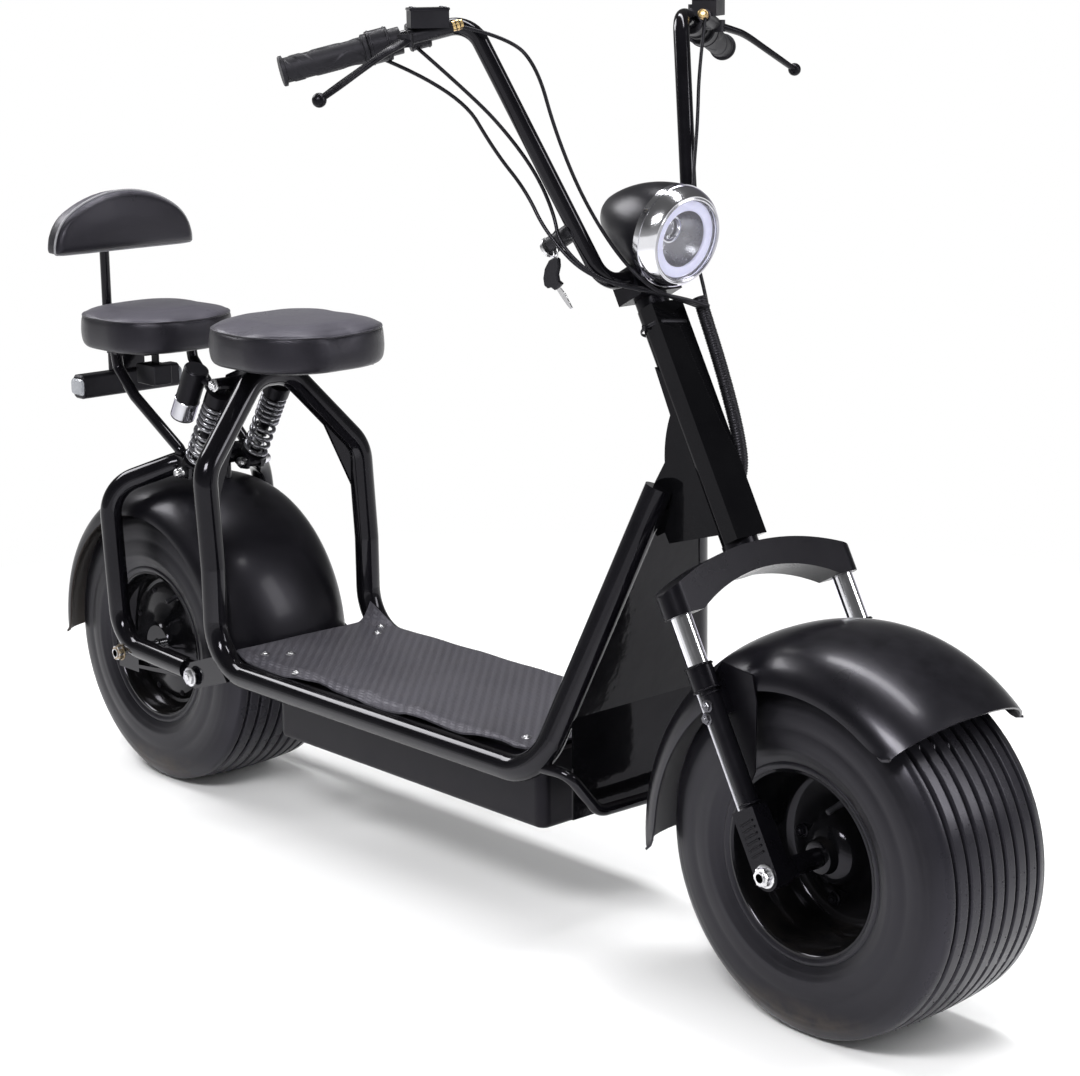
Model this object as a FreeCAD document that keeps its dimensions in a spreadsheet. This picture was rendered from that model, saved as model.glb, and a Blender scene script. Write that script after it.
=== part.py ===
import FreeCAD, Part
import Sketcher
import math
import os

# Electric chopper scooter: wide tyres, tube frame, battery under the deck, two seats.
# Millimetres. X points forward, Y to the rider's left, Z up, with the floor at zero.
# Points are measured from the rear axle, and the placements move the whole to its middle.

os.makedirs("parts", exist_ok=True)
doc = FreeCAD.newDocument("ElectricChopper")
sheet = doc.addObject("Spreadsheet::Sheet", "Sizes")

# Columns: name, value, meaning.
SIZES = [
    ("wheelbase", 1400, "between the wheel axles"),
    ("origin_back", 681, "rear axle behind the part's origin"),
    ("tyre_radius", 228.6, "outer radius of the tyre"),
    ("tyre_half", 107.5, "half width of the tyre"),
    ("wall_height", 56, "widest point of the tyre inside its outer radius"),
    ("tread_half", 90, "half width of the flat tread"),
    ("shoulder_drop", 5, "tread edge inside the outer radius"),
    ("wall_bulge", 62, "arc of the tyre's side"),
    ("tread_bulge", 850, "arc of the tread"),
    ("bead_radius", 119, "rim seat of the tyre"),
    ("rim_half", 100, "half width of the rim"),
    ("rim_wall", 4, "sheet of the rim"),
    ("rim_lip", 6, "height of the rim's flange"),
    ("dish_wall", 10, "dish below the bead seat, at its floor"),
    ("hub_radius", 44, "radius of the front hub"),
    ("hub_step", 8, "hub nose below the hub"),
    ("hub_half", 69, "half width of the front hub"),
    ("axle_radius", 7, "radius of both axles"),
    ("nut_radius", 12, "axle nuts, across their corners"),
    ("nut_height", 9, "axle nuts"),
    ("motor_radius", 96, "radius of the rear hub motor"),
    ("motor_half", 84, "half width of the rear hub motor"),
    ("motor_step", 20, "motor's edge inside its half width"),
    ("motor_round", 12, "slope of the motor's edge"),
    ("nose_radius", 30, "nose of the rear hub motor"),
    ("nose_length", 12, "nose of the rear hub motor"),
    ("disc_side", 112, "brake disc from the middle"),
    ("disc_sheet", 4, "brake disc"),
    ("disc_radius", 75, "brake disc"),
    ("caliper_gap", 5, "caliper from the disc"),
    ("rake", 28.3, "steering axis back from upright, in degrees"),
    ("axis_lag", 8, "steering axis behind the fork legs"),
    ("tube_radius", 19, "main tubes"),
    ("rail_side", 148, "deck rail from the middle"),
    ("rail_height", 250, "deck rail above the floor"),
    ("rail_back", 242, "rear end of the deck rail"),
    ("rail_front", 974, "front end of the deck rail"),
    ("rail_bend", 75, "bend radius of the deck rail"),
    ("leg_foot", 345, "height where the hoop meets the rail"),
    ("down_joint", 330, "height where the down tube meets the rail"),
    ("down_top_x", 1087, "top of the down tubes from the rear axle"),
    ("down_top_half", 31, "top of the down tubes from the middle"),
    ("down_top", 640, "height of the down tubes' top"),
    ("hoop_top", 682, "height of the hoop's top run"),
    ("hoop_top_x", 205, "top run of the hoop from the rear axle"),
    ("hoop_bend", 60, "bend radius of the hoop"),
    ("box_back", 364, "rear end of the battery box"),
    ("box_front_gap", 16, "front of the battery box behind the rails' front"),
    ("box_half", 125, "half width of the battery box"),
    ("box_floor", 163, "height of the battery box's bottom"),
    ("box_top", 269, "height of the battery box's lid"),
    ("box_round", 16, "rounded edges of the battery box"),
    ("deck_sheet", 5, "thickness of the deck plate"),
    ("mat_sheet", 6, "thickness of the deck mat"),
    ("deck_half", 128, "half width of the deck plate"),
    ("deck_back", 272, "rear end of the deck plate"),
    ("deck_front", 944, "front end of the deck plate"),
    ("deck_corner", 18, "corners of the deck plate"),
    ("mat_inset", 2, "mat inside the edge of the deck plate"),
    ("head_radius", 23, "head tube"),
    ("head_low", 406, "bottom of the head tube along the fork"),
    ("head_high", 728, "top of the head tube along the fork"),
    ("stem_radius", 17, "steering stem"),
    ("race_radius", 24, "bearing rings of the head"),
    ("cover_width", 54, "width of the head cover"),
    ("cover_back", 1, "back of the head cover ahead of the axis"),
    ("cover_front", 25, "face of the head cover ahead of the axis"),
    ("neck_sheet", 5, "neck plates"),
    ("neck_side", 22, "neck plates from the middle"),
    ("panel_sheet", 3, "front panel"),
    ("leg_side", 148, "fork leg from the middle"),
    ("stanchion_radius", 13.5, "chrome fork tube"),
    ("bridge_top", 398, "top of the fork bridge along the fork"),
    ("bridge_drop", 35, "height of the fork bridge"),
    ("bridge_arch", 32, "rise of the bridge's arch"),
    ("bridge_depth", 42, "depth of the fork bridge"),
    ("bridge_foot", 44, "level end of the bridge round each leg"),
    ("bridge_round", 8, "upper corners of the fork bridge"),
    ("collar_low", 236, "bottom of the slider's collar along the fork"),
    ("collar_high", 268, "top of the slider's collar along the fork"),
    ("collar_radius", 17, "slider's collar"),
    ("collar_sink", 10, "fork tube's end inside the collar"),
    ("damper_radius", 12, "thick tube of the slider"),
    ("damper_lead", 3, "thick tube ahead of the leg's middle"),
    ("rod_radius", 4, "thin rod of the slider"),
    ("rod_lag", 14.5, "thin rod behind the leg's middle"),
    ("cast_high", 84, "top of the bottom casting along the fork"),
    ("cast_half", 19, "half depth of the bottom casting"),
    ("cast_width", 26, "width of the bottom casting"),
    ("front_fender_radius", 282, "front fender's crown"),
    ("front_fender_round", 44, "crown drop of the front fender"),
    ("front_fender_skirt", 62, "side depth of the front fender"),
    ("front_fender_flare", 26, "growth of the radius of the front fender's rear part"),
    ("rear_fender_radius", 268, "rear fender's crown"),
    ("rear_fender_round", 48, "crown drop of the rear fender"),
    ("rear_fender_skirt", 54, "side depth of the rear fender"),
    ("rear_fender_close", -12, "growth of the radius of the rear fender's front part"),
    ("fender_half", 125, "half width of the fenders"),
    ("fender_sheet", 3, "sheet of the fenders"),
    ("arm_side", 149, "swing arm loop from the middle"),
    ("arm_radius", 17, "swing arm tube"),
    ("arm_bend", 60, "bend radius of the swing arm"),
    ("pivot_x", 203, "swing arm pivot from the rear axle"),
    ("pivot_height", 231, "swing arm pivot above the floor"),
    ("pivot_bolt", 9, "pivot bolt"),
    ("lug_sheet", 6, "pivot lugs"),
    ("cross_x", 40, "cross run of the swing arm from the rear axle"),
    ("cross_height", 531, "cross run of the swing arm above the floor"),
    ("shock_side", 56, "shock from the middle"),
    ("shock_low_x", 65, "lower shock bolt from the rear axle"),
    ("shock_low", 518, "lower shock bolt above the floor"),
    ("shock_high_x", 156, "upper shock bolt from the rear axle"),
    ("shock_high", 667, "upper shock bolt above the floor"),
    ("shock_eye", 10, "shock eyes"),
    ("shock_eye_width", 22, "shock eyes"),
    ("shock_bolt", 5, "shock bolts"),
    ("damper_tube", 9, "shock's damper tube"),
    ("coil_radius", 21, "outer radius of the shock's spring"),
    ("coil_wire", 3, "half thickness of the spring's wire"),
    ("coil_turns", 8, "turns of the spring"),
    ("cap_height", 20, "spring cap of the shock"),
    ("tank_radius", 19, "shock's gas reservoir"),
    ("seat_round", 26, "upper edge of the seats"),
    ("seat_under", 10, "lower edge of the seats"),
    ("front_seat_x", 277, "middle of the front seat from the rear axle"),
    ("front_seat_long", 122, "half length of the front seat"),
    ("front_seat_wide", 120, "half width of the front seat"),
    ("front_seat_corner", 80, "corners of the front seat"),
    ("front_seat_low", 707, "bottom of the front seat above the floor"),
    ("front_seat_tall", 62, "front seat"),
    ("rear_seat_x", -105, "middle of the rear seat from the rear axle"),
    ("rear_seat_long", 112, "half length of the rear seat"),
    ("rear_seat_wide", 112, "half width of the rear seat"),
    ("rear_seat_corner", 75, "corners of the rear seat"),
    ("rear_seat_low", 694, "bottom of the rear seat above the floor"),
    ("rear_seat_tall", 59, "rear seat"),
    ("pan_sheet", 3, "seat pans"),
    ("pan_inset", 40, "seat pans inside the seat's edge"),
    ("rest_half", 133, "half width of the backrest"),
    ("rest_drop", 42, "bottom of the backrest below the post's top"),
    ("rest_tall", 98, "height of the backrest"),
    ("rest_side", 10, "lower corners of the backrest"),
    ("rest_corner", 60, "upper corners of the backrest"),
    ("rest_deep", 46, "thickness of the backrest"),
    ("rest_back", -221, "back of the backrest from the rear axle"),
    ("post_x", -251, "backrest post from the rear axle"),
    ("post_radius", 8, "backrest post"),
    ("post_top", 884, "top of the backrest post above the floor"),
    ("strut_radius", 9, "struts of the rear seat"),
    ("lamp_x", -200, "tail lamp from the rear axle"),
    ("lamp_drop", 67, "middle of the tail lamp below the rear seat's pan"),
    ("lamp_half", 96, "half width of the tail lamp"),
    ("lamp_deep", 38, "depth of the tail lamp"),
    ("lamp_tall", 26, "height of the tail lamp"),
    ("bar_radius", 11, "handlebar tube"),
    ("bar_base", 768, "handlebar base along the fork"),
    ("bar_bend", 35, "bend radius of the handlebar"),
    ("clamp_low", 743, "bottom of the handlebar clamp along the fork"),
    ("clamp_high", 783, "top of the handlebar clamp along the fork"),
    ("clamp_deep", 46, "depth of the handlebar clamp"),
    ("clamp_wide", 74, "width of the handlebar clamp"),
    ("grip_radius", 16, "rubber grip"),
    ("grip_length", 108, "rubber grip"),
    ("grip_flange", 19, "end flange of the grip"),
    ("mirror_hole", 4, "threaded hole for a mirror"),
    ("mirror_depth", 12, "threaded hole for a mirror"),
    ("mirror_boss", 26, "mouth of the mirror's hole above the bar's middle"),
    ("lock_radius", 12, "ignition lock"),
    ("pod_length", 124, "length of the headlight's pod"),
    ("pod_radius", 66, "front of the headlight's pod"),
    ("pod_back", 26, "back of the headlight's pod"),
    ("pod_bulge", 200, "arc of the pod's side"),
    ("pod_slope", 10, "sloped edge of the pod's back"),
    ("pod_bowl", 54, "bowl of the headlight"),
    ("bowl_depth", 44, "bowl of the headlight"),
    ("pod_dip", 11, "headlight below level, in degrees"),
    ("bezel_length", 21, "chrome bezel"),
    ("bezel_front", 57, "front radius of the chrome bezel"),
    ("bezel_bulge", 34, "arc of the bezel's band"),
    ("bezel_taper", 2, "narrowing of the bezel's bore"),
    ("lens_sheet", 5, "headlight lens"),
    ("lens_sink", 6, "lens behind the bezel's face"),
    ("loom_radius", 8, "wiring loom"),
    ("cable_radius", 3, "cables and hoses"),
    ("guard_radius", 8, "guard bar"),
    ("guard_bend", 25, "bend radius of the guard bar"),
    ("stand_x", 470, "stand pivot from the rear axle"),
    ("stand_side", 158, "stand pivot from the middle"),
    ("stand_height", 205, "stand pivot above the floor"),
    ("stand_tilt", 20.42, "stand pivot's axis up from level, in degrees"),
    ("stand_pin", 6, "pivot pin of the stand"),
    ("stand_boss", 12, "boss of the stand"),
    ("stand_leg", 8, "leg of the stand"),
    ("skin_gap", 0.3, "between curved faces of neighbours"),
    ("fit_gap", 0.05, "running fit on a radius"),
]
for row, (name, value, meaning) in enumerate(SIZES, start=1):
    sheet.set(f"A{row}", name)
    sheet.set(f"B{row}", str(value))
    sheet.set(f"C{row}", meaning)
    sheet.setAlias(f"B{row}", name)
doc.recompute()


def size(name):
    return float(sheet.get(name))


V = FreeCAD.Vector
LEFT = V(0, 1, 0)
RAKE = math.radians(size("rake"))
FRONT = V(size("wheelbase"), 0, size("tyre_radius"))
REAR = V(0, 0, size("tyre_radius"))
UP_FORK = V(-math.sin(RAKE), 0, math.cos(RAKE))
AHEAD_FORK = V(math.cos(RAKE), 0, math.sin(RAKE))
AXIS = -size("axis_lag")
TUBE = size("tube_radius")
SIDES = [("right", -1), ("left", 1)]
nodes = []


# Point in the fork's own frame: ahead of the legs, to the left, up along the fork.
def fork(ahead, side, up):
    return FRONT + AHEAD_FORK * ahead + LEFT * side + UP_FORK * up


def settle(node, point=V(0, 0, 0), turn=FreeCAD.Rotation()):
    node.Placement = FreeCAD.Placement(V(point.x - size("origin_back"), point.y, point.z), turn)


def shaped(name, shape):
    node = doc.addObject("Part::Feature", name)
    node.Label = name
    node.Shape = shape
    settle(node)
    nodes.append(node)


# Round bars, tubes and flat plates
def rod(start, end, radius):
    axis = end - start
    return Part.makeCylinder(radius, axis.Length, start, axis)


def cross_rod(point, half, radius):
    return rod(point - LEFT * half, point + LEFT * half, radius)


def fork_rod(ahead, side, low, high, radius):
    return rod(fork(ahead, side, low), fork(ahead, side, high), radius)


# Straight runs with tangent arcs at the inner points.
def path(points, bend):
    edges = []
    last = points[0]
    for before, corner, after in zip(points, points[1:], points[2:]):
        to_back = (before - corner).normalize()
        to_front = (after - corner).normalize()
        half = to_back.getAngle(to_front) / 2
        reach = bend / math.tan(half)
        start = corner + to_back * reach
        end = corner + to_front * reach
        middle_way = (to_back + to_front).normalize()
        middle = corner + middle_way * (bend / math.sin(half) - bend)
        edges.append(Part.makeLine(last, start))
        edges.append(Part.Arc(start, middle, end).toShape())
        last = end
    edges.append(Part.makeLine(last, points[-1]))
    return Part.Wire(edges)


def tube(points, bend, radius):
    ring = Part.Wire(Part.makeCircle(radius, points[0], points[1] - points[0]))
    return path(points, bend).makePipeShell([ring], True, False)


def mirrored(shape):
    return shape.mirror(V(0, 0, 0), LEFT)


def both(shape):
    return Part.makeCompound([shape, mirrored(shape)])


def sided(shape, sign):
    return shape if sign < 0 else mirrored(shape)


def plate(points, thickness_vector):
    return Part.Face(Part.makePolygon(points + [points[0]])).extrude(thickness_vector)


# Box from its low and high corners, turned with the fork.
def fork_box(low, high):
    block = Part.makeBox(high[0] - low[0], high[1] - low[1], high[2] - low[2], V(*low))
    block.rotate(V(0, 0, 0), LEFT, -size("rake"))
    block.translate(FRONT)
    return block


def box(low, high):
    return Part.makeBox(high[0] - low[0], high[1] - low[1], high[2] - low[2], V(*low))


# Ring about a lengthwise spot of the wheel, used to free the brake discs.
def disc_space(centre):
    gap = size("caliper_gap")
    start = centre + LEFT * (size("disc_side") - gap)
    return rod(start, start + LEFT * (size("disc_sheet") + 2 * gap), size("disc_radius") + gap)


# Sketch outline in one of a body's planes. Each row: across, outward, and the radius of
# the arc that runs on to the next point, with zero for a straight line.
def outline(body, role, rows):
    sketch = body.newObject("Sketcher::SketchObject", body.Name + "Outline")
    plane = [part for part in body.Origin.OriginFeatures if part.Role == role][0]
    sketch.AttachmentSupport = [(plane, "")]
    sketch.MapMode = "FlatFace"
    points = [V(sketch.evalExpression(row[0]), sketch.evalExpression(row[1]), 0) for row in rows]
    ends = []
    for index, row in enumerate(rows):
        start = points[index]
        end = points[(index + 1) % len(points)]
        bulge = sketch.evalExpression(row[2])
        if bulge == 0:
            sketch.addGeometry(Part.LineSegment(start, end))
            ends.append((1, 2))
        else:
            way = (end - start).normalize()
            left = V(-way.y, way.x, 0)
            half = (end - start).Length / 2
            rise = math.sqrt(max(bulge * bulge - half * half, 0))
            centre = (start + end) * 0.5 + left * (rise if bulge > 0 else -rise)
            first = math.atan2(start.y - centre.y, start.x - centre.x)
            last = math.atan2(end.y - centre.y, end.x - centre.x)
            circle = Part.Circle(centre, V(0, 0, 1), abs(bulge))
            if bulge > 0:
                sketch.addGeometry(Part.ArcOfCircle(circle, first, last))
                ends.append((1, 2))
            else:
                sketch.addGeometry(Part.ArcOfCircle(circle, last, first))
                ends.append((2, 1))
    for index in range(len(rows)):
        after = (index + 1) % len(rows)
        join = Sketcher.Constraint("Coincident", index, ends[index][1], after, ends[after][0])
        sketch.addConstraint(join)
    for index, row in enumerate(rows):
        spots = [("DistanceX", points[index].x, row[0]), ("DistanceY", points[index].y, row[1])]
        for kind, value, link in spots:
            at = sketch.addConstraint(Sketcher.Constraint(kind, -1, 1, index, ends[index][0], value))
            sketch.setExpression(f"Constraints[{at}]", link)
        bulge = sketch.evalExpression(row[2])
        if bulge:
            at = sketch.addConstraint(Sketcher.Constraint("Radius", index, abs(bulge)))
            sketch.setExpression(f"Constraints[{at}]", f"abs({row[2]})")
    sketch.Visibility = False
    return sketch


def new_body(name):
    body = doc.addObject("PartDesign::Body", name)
    body.Label = name
    return body


# Body turned from an outline about the Y axis.
def turned(name, rows, angle=360):
    body = new_body(name)
    sketch = outline(body, "YZ_Plane", rows)
    turn = body.newObject("PartDesign::Revolution", name + "Turn")
    turn.Profile = sketch
    turn.ReferenceAxis = (sketch, ["H_Axis"])
    turn.Angle = angle
    body.Tip = turn
    return body


# Body pushed out from an outline. Each round: radius, and a test for its edges.
def pushed(name, role, rows, length, rounds=()):
    body = new_body(name)
    sketch = outline(body, role, rows)
    last = body.newObject("PartDesign::Pad", name + "Pad")
    last.Profile = sketch
    last.setExpression("Length", length)
    body.Tip = last
    for radius, wanted in rounds:
        doc.recompute()
        edges = [f"Edge{at}" for at, edge in enumerate(last.Shape.Edges, start=1) if wanted(edge)]
        base = last
        last = body.newObject("PartDesign::Fillet", f"{name}Round")
        last.Base = (base, edges)
        last.setExpression("Radius", radius)
        body.Tip = last
    return body


def keep(node, point, turn=FreeCAD.Rotation()):
    settle(node, point, turn)
    nodes.append(node)


# The other half of an outline that is the same on both sides.
def symmetric(rows):
    back = []
    for index in range(len(rows) - 1, -1, -1):
        across, outward, bulge = rows[index]
        arc = rows[index - 1][2] if index else "0"
        back.append((f"-({across})", outward, arc))
    return rows + back


# Rectangle with round corners about the middle.
def rounded_rows(half_long, half_wide, corner):
    flat_long = f"({half_long} - {corner})"
    flat_wide = f"({half_wide} - {corner})"
    return [
        (f"-{flat_long}", f"-{half_wide}", "0"),
        (flat_long, f"-{half_wide}", corner),
        (half_long, f"-{flat_wide}", "0"),
        (half_long, flat_wide, corner),
        (flat_long, half_wide, "0"),
        (f"-{flat_long}", half_wide, corner),
        (f"-{half_long}", flat_wide, "0"),
        (f"-{half_long}", f"-{flat_wide}", corner),
    ]


# Wheels
def tyre(name, centre):
    rows = symmetric([
        ("Sizes.rim_half - Sizes.rim_lip", "Sizes.bead_radius + Sizes.skin_gap", "0"),
        ("Sizes.rim_half", "Sizes.bead_radius + Sizes.skin_gap", "0"),
        ("Sizes.rim_half + 1", "Sizes.bead_radius + Sizes.rim_lip", "Sizes.wall_bulge"),
        ("Sizes.tyre_half", "Sizes.tyre_radius - Sizes.wall_height", "Sizes.wall_bulge"),
        ("Sizes.tread_half", "Sizes.tyre_radius - Sizes.shoulder_drop", "Sizes.tread_bulge"),
    ])
    keep(turned(name, rows), centre)


def front_rim():
    bore = "Sizes.axle_radius + Sizes.fit_gap"
    face = "Sizes.bead_radius - Sizes.rim_wall"
    floor = "Sizes.bead_radius - Sizes.dish_wall"
    nose = "Sizes.hub_radius - Sizes.hub_step"
    disc_face = "Sizes.disc_side + Sizes.disc_sheet"
    rows = [
        ("-Sizes.rim_half", "Sizes.bead_radius", "0"),
        ("-Sizes.rim_half", face, "0"),
        ("-Sizes.rim_wall", floor, "0"),
        ("-Sizes.rim_wall", "Sizes.hub_radius", "0"),
        ("-Sizes.hub_half", nose, "0"),
        ("-Sizes.hub_half", bore, "0"),
        (disc_face, bore, "0"),
        (disc_face, "Sizes.disc_radius", "0"),
        ("Sizes.disc_side", "Sizes.disc_radius", "0"),
        ("Sizes.disc_side", nose, "0"),
        ("Sizes.rim_wall", "Sizes.hub_radius", "0"),
        ("Sizes.rim_wall", floor, "0"),
        ("Sizes.rim_half", face, "0"),
        ("Sizes.rim_half", "Sizes.bead_radius", "0"),
    ]
    keep(turned("front_rim", rows), FRONT)


def rear_rim():
    bore = "Sizes.axle_radius + Sizes.fit_gap"
    face = "Sizes.bead_radius - Sizes.rim_wall"
    floor = "Sizes.motor_radius + Sizes.rim_lip"
    side = "(Sizes.motor_half - Sizes.motor_step)"
    round_side = "(Sizes.motor_half - Sizes.motor_step + Sizes.motor_round)"
    round_edge = "Sizes.motor_radius - Sizes.motor_round"
    nose_face = "(Sizes.motor_half + Sizes.nose_length)"
    disc_face = "Sizes.disc_side + Sizes.disc_sheet"
    rows = [
        ("-Sizes.rim_half", "Sizes.bead_radius", "0"),
        ("-Sizes.rim_half", face, "0"),
        (f"-{side}", floor, "0"),
        (f"-{side}", "Sizes.motor_radius", "0"),
        (f"-{round_side}", round_edge, "0"),
        ("-Sizes.motor_half", "Sizes.hub_radius", "0"),
        (f"-{nose_face}", "Sizes.nose_radius", "0"),
        (f"-{nose_face}", bore, "0"),
        (disc_face, bore, "0"),
        (disc_face, "Sizes.disc_radius", "0"),
        ("Sizes.disc_side", "Sizes.disc_radius", "0"),
        ("Sizes.disc_side", "Sizes.nose_radius", "0"),
        ("Sizes.motor_half", "Sizes.hub_radius", "0"),
        (round_side, round_edge, "0"),
        (side, "Sizes.motor_radius", "0"),
        (side, floor, "0"),
        ("Sizes.rim_half", face, "0"),
        ("Sizes.rim_half", "Sizes.bead_radius", "0"),
    ]
    keep(turned("rear_rim", rows), REAR)


# Axle through both legs with a nut at each end.
def axle(name, centre, half):
    nut_half = half + size("nut_height")
    corners = 6
    points = []
    for corner in range(corners):
        angle = 2 * math.pi * corner / corners
        spoke = V(math.cos(angle), 0, math.sin(angle)) * size("nut_radius")
        points.append(centre + spoke + LEFT * half)
    nut = plate(points, LEFT * size("nut_height"))
    shaft = cross_rod(centre, nut_half + 2, size("axle_radius"))
    shaped(name, shaft.fuse([nut, mirrored(nut)]))


tyre("front_tyre", FRONT)
front_rim()
tyre("rear_tyre", REAR)
rear_rim()


# Fenders: a crowned sheet with short side skirts, turned part of the way round a wheel.
# Each arc: start angle from straight up, sweep, growth of the radius, and the angle of the
# seam that it shares with the plain arc.
def fender(name, kind, centre, arcs):
    fall = f"Sizes.{kind}_fender_round"
    skirt = f"Sizes.{kind}_fender_skirt"
    half = "Sizes.fender_half"
    thin = f"({half} - Sizes.fender_sheet)"
    drop = f"({fall} - Sizes.fender_sheet)"
    outer = f"-({half}^2 + {fall}^2) / (2 * {fall})"
    inner = f"({thin}^2 + {drop}^2) / (2 * {drop})"
    sheets = []
    for at, (start, sweep, growth, seam) in enumerate(arcs):
        crown = f"(Sizes.{kind}_fender_radius + {growth})"
        rows = [
            (f"-{half}", f"{crown} - {skirt}", "0"),
            (f"-{half}", f"{crown} - {fall}", outer),
            (half, f"{crown} - {fall}", "0"),
            (half, f"{crown} - {skirt}", "0"),
            (thin, f"{crown} - {skirt}", "0"),
            (thin, f"{crown} - {fall}", inner),
            (f"-{thin}", f"{crown} - {fall}", "0"),
            (f"-{thin}", f"{crown} - {skirt}", "0"),
        ]
        body = turned(f"{name}_arc{at}", rows, sweep)
        spoke = V(math.sin(math.radians(seam)), 0, math.cos(math.radians(seam)))
        back = spoke * -sheet.evalExpression(growth)
        body.Placement = FreeCAD.Placement(back, FreeCAD.Rotation(LEFT, start))
        sheets.append(body)
    whole = doc.addObject("Part::MultiFuse", name)
    whole.Label = name
    whole.Shapes = sheets
    whole.Refine = True
    keep(whole, centre)


# Columns: start angle, sweep, growth of the radius, seam.
FRONT_ARCS = [(-94, 52, "Sizes.front_fender_flare", -42), (-42, 84, "0", 0)]
REAR_ARCS = [(-94, 86, "0", 0), (-8, 86, "Sizes.rear_fender_close", -8)]
fender("front_fender", "front", FRONT, FRONT_ARCS)
fender("rear_fender", "rear", REAR, REAR_ARCS)
doc.recompute()


def fender_solid(name):
    solid = doc.getObject(name).Shape.copy()
    solid.translate(V(size("origin_back"), 0, 0))
    return solid


# Deck rails with the swing arm's pivot lugs and bolts, and the down tubes
RAIL_FOOT = V(size("rail_back"), -size("rail_side"), size("leg_foot"))
RAIL_CORNER = V(size("rail_back"), -size("rail_side"), size("rail_height"))
RAIL_FRONT = V(size("rail_front"), -size("rail_side"), size("rail_height"))
DOWN_TOP = V(size("down_top_x"), -size("down_top_half"), size("down_top"))
DOWN_WAY = (DOWN_TOP - RAIL_FRONT) * (1 / (DOWN_TOP.z - RAIL_FRONT.z))
DOWN_FOOT = RAIL_FRONT + DOWN_WAY * (size("down_joint") - size("rail_height"))
PIVOT = V(size("pivot_x"), -size("arm_side"), size("pivot_height"))
BOX_TABS = [410, 640, 860]
RAIL = tube([RAIL_FOOT, RAIL_CORNER, RAIL_FRONT, DOWN_FOOT], size("rail_bend"), TUBE)
DOWN = rod(DOWN_FOOT, DOWN_TOP, TUBE)


def deck_rails():
    lug = size("lug_sheet")
    reach = size("arm_radius") - lug
    # Columns: ahead of the pivot, above it. The last two lie inside the rail.
    corners = [(-18, 6), (-8, 20), (62, 44), (88, 8), (2, -20), (-14, -14)]
    lugs = []
    for inner in (-reach - lug, reach):
        points = [PIVOT + V(ahead, inner, up) for ahead, up in corners]
        lugs.append(plate(points, LEFT * lug))
    bolt = cross_rod(PIVOT, size("arm_radius") + lug, size("pivot_bolt"))
    tabs = []
    for x in BOX_TABS:
        tabs.append(box((x, -size("rail_side"), 240), (x + 30, -size("box_half"), 256)))
    rail = RAIL.fuse(lugs + tabs + [bolt]).removeSplitter()
    for word, sign in SIDES:
        shaped(f"deck_rail_{word}", sided(rail, sign))
        shaped(f"down_tube_{word}", sided(DOWN, sign))


# Seat hoop with its shock lugs, corner gussets and seat saddle
# Columns: ahead of the rear axle, left of the middle, above the floor.
HOOP_ROUTE = [(242, -148, 345), (242, -148, 405), (230, -148, 552), (205, -32, 682), (205, 0, 682)]
LUG_CORNERS = [(-14, -6), (-8, 12), (40, 30), (58, 14), (48, -10), (6, -14)]
SHOCK_LOW = V(size("shock_low_x"), -size("shock_side"), size("shock_low"))
SHOCK_HIGH = V(size("shock_high_x"), -size("shock_side"), size("shock_high"))
HALF_HOOP = tube([V(*row) for row in HOOP_ROUTE], size("hoop_bend"), TUBE)


def seat_hoop():
    lug = size("lug_sheet")
    eye = size("shock_eye_width") / 2
    points = [SHOCK_HIGH + V(ahead, eye, up) for ahead, up in LUG_CORNERS]
    lug_plate = plate(points, LEFT * lug)
    bolt = rod(SHOCK_HIGH + LEFT * (eye + lug), SHOCK_HIGH - LEFT * (eye + lug), size("shock_bolt"))
    head = rod(SHOCK_HIGH - LEFT * eye, SHOCK_HIGH - LEFT * (eye + lug), size("shock_eye"))
    gusset = plate([V(228, -140, 470), V(228, -140, 566), V(214, -66, 640)], V(lug, 0, 0))
    half = HALF_HOOP.fuse([lug_plate, bolt, head, gusset])
    saddle = box((190, -28, 684), (220, 28, 704))
    shaped("seat_hoop", half.fuse([mirrored(half), saddle]).removeSplitter())


def battery_box():
    half_long = "((Sizes.rail_front - Sizes.box_front_gap - Sizes.box_back) / 2)"
    rows = rounded_rows(half_long, "Sizes.box_half", "Sizes.box_round")

    def at_floor(edge):
        return edge.BoundBox.ZMax < 1

    body = pushed("battery_box", "XY_Plane", rows, "Sizes.box_top - Sizes.box_floor",
                  [("Sizes.box_round / 2", at_floor)])
    middle = (size("rail_front") - size("box_front_gap") + size("box_back")) / 2
    keep(body, V(middle, 0, size("box_floor")))


def deck_layer(name, low, tall, inset):
    half_long = f"((Sizes.deck_front - Sizes.deck_back) / 2 - {inset})"
    rows = rounded_rows(half_long, f"(Sizes.deck_half - {inset})", "Sizes.deck_corner")
    middle = (size("deck_front") + size("deck_back")) / 2
    keep(pushed(name, "XY_Plane", rows, tall), V(middle, 0, low))


deck_rails()
seat_hoop()
battery_box()
deck_layer("deck_plate", size("box_top"), "Sizes.deck_sheet", "0")
deck_layer("deck_mat", size("box_top") + size("deck_sheet"), "Sizes.mat_sheet", "Sizes.mat_inset")


# Head tube with its flat cover, neck plates, front panel and guard bar
HEAD_SKIN = fork_rod(AXIS, 0, size("head_low") - 1, size("head_high") + 1, size("head_radius"))


def head_tube():
    outer = fork_rod(AXIS, 0, size("head_low"), size("head_high"), size("head_radius"))
    half = size("cover_width") / 2
    cover = fork_box((AXIS + size("cover_back"), -half, size("head_low")),
                     (AXIS + size("cover_front"), half, size("head_high")))
    bore = fork_rod(AXIS, 0, size("head_low") - 1, size("head_high") + 1,
                    size("stem_radius") + size("fit_gap"))
    shaped("head_tube", outer.fuse(cover).cut(bore))


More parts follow.
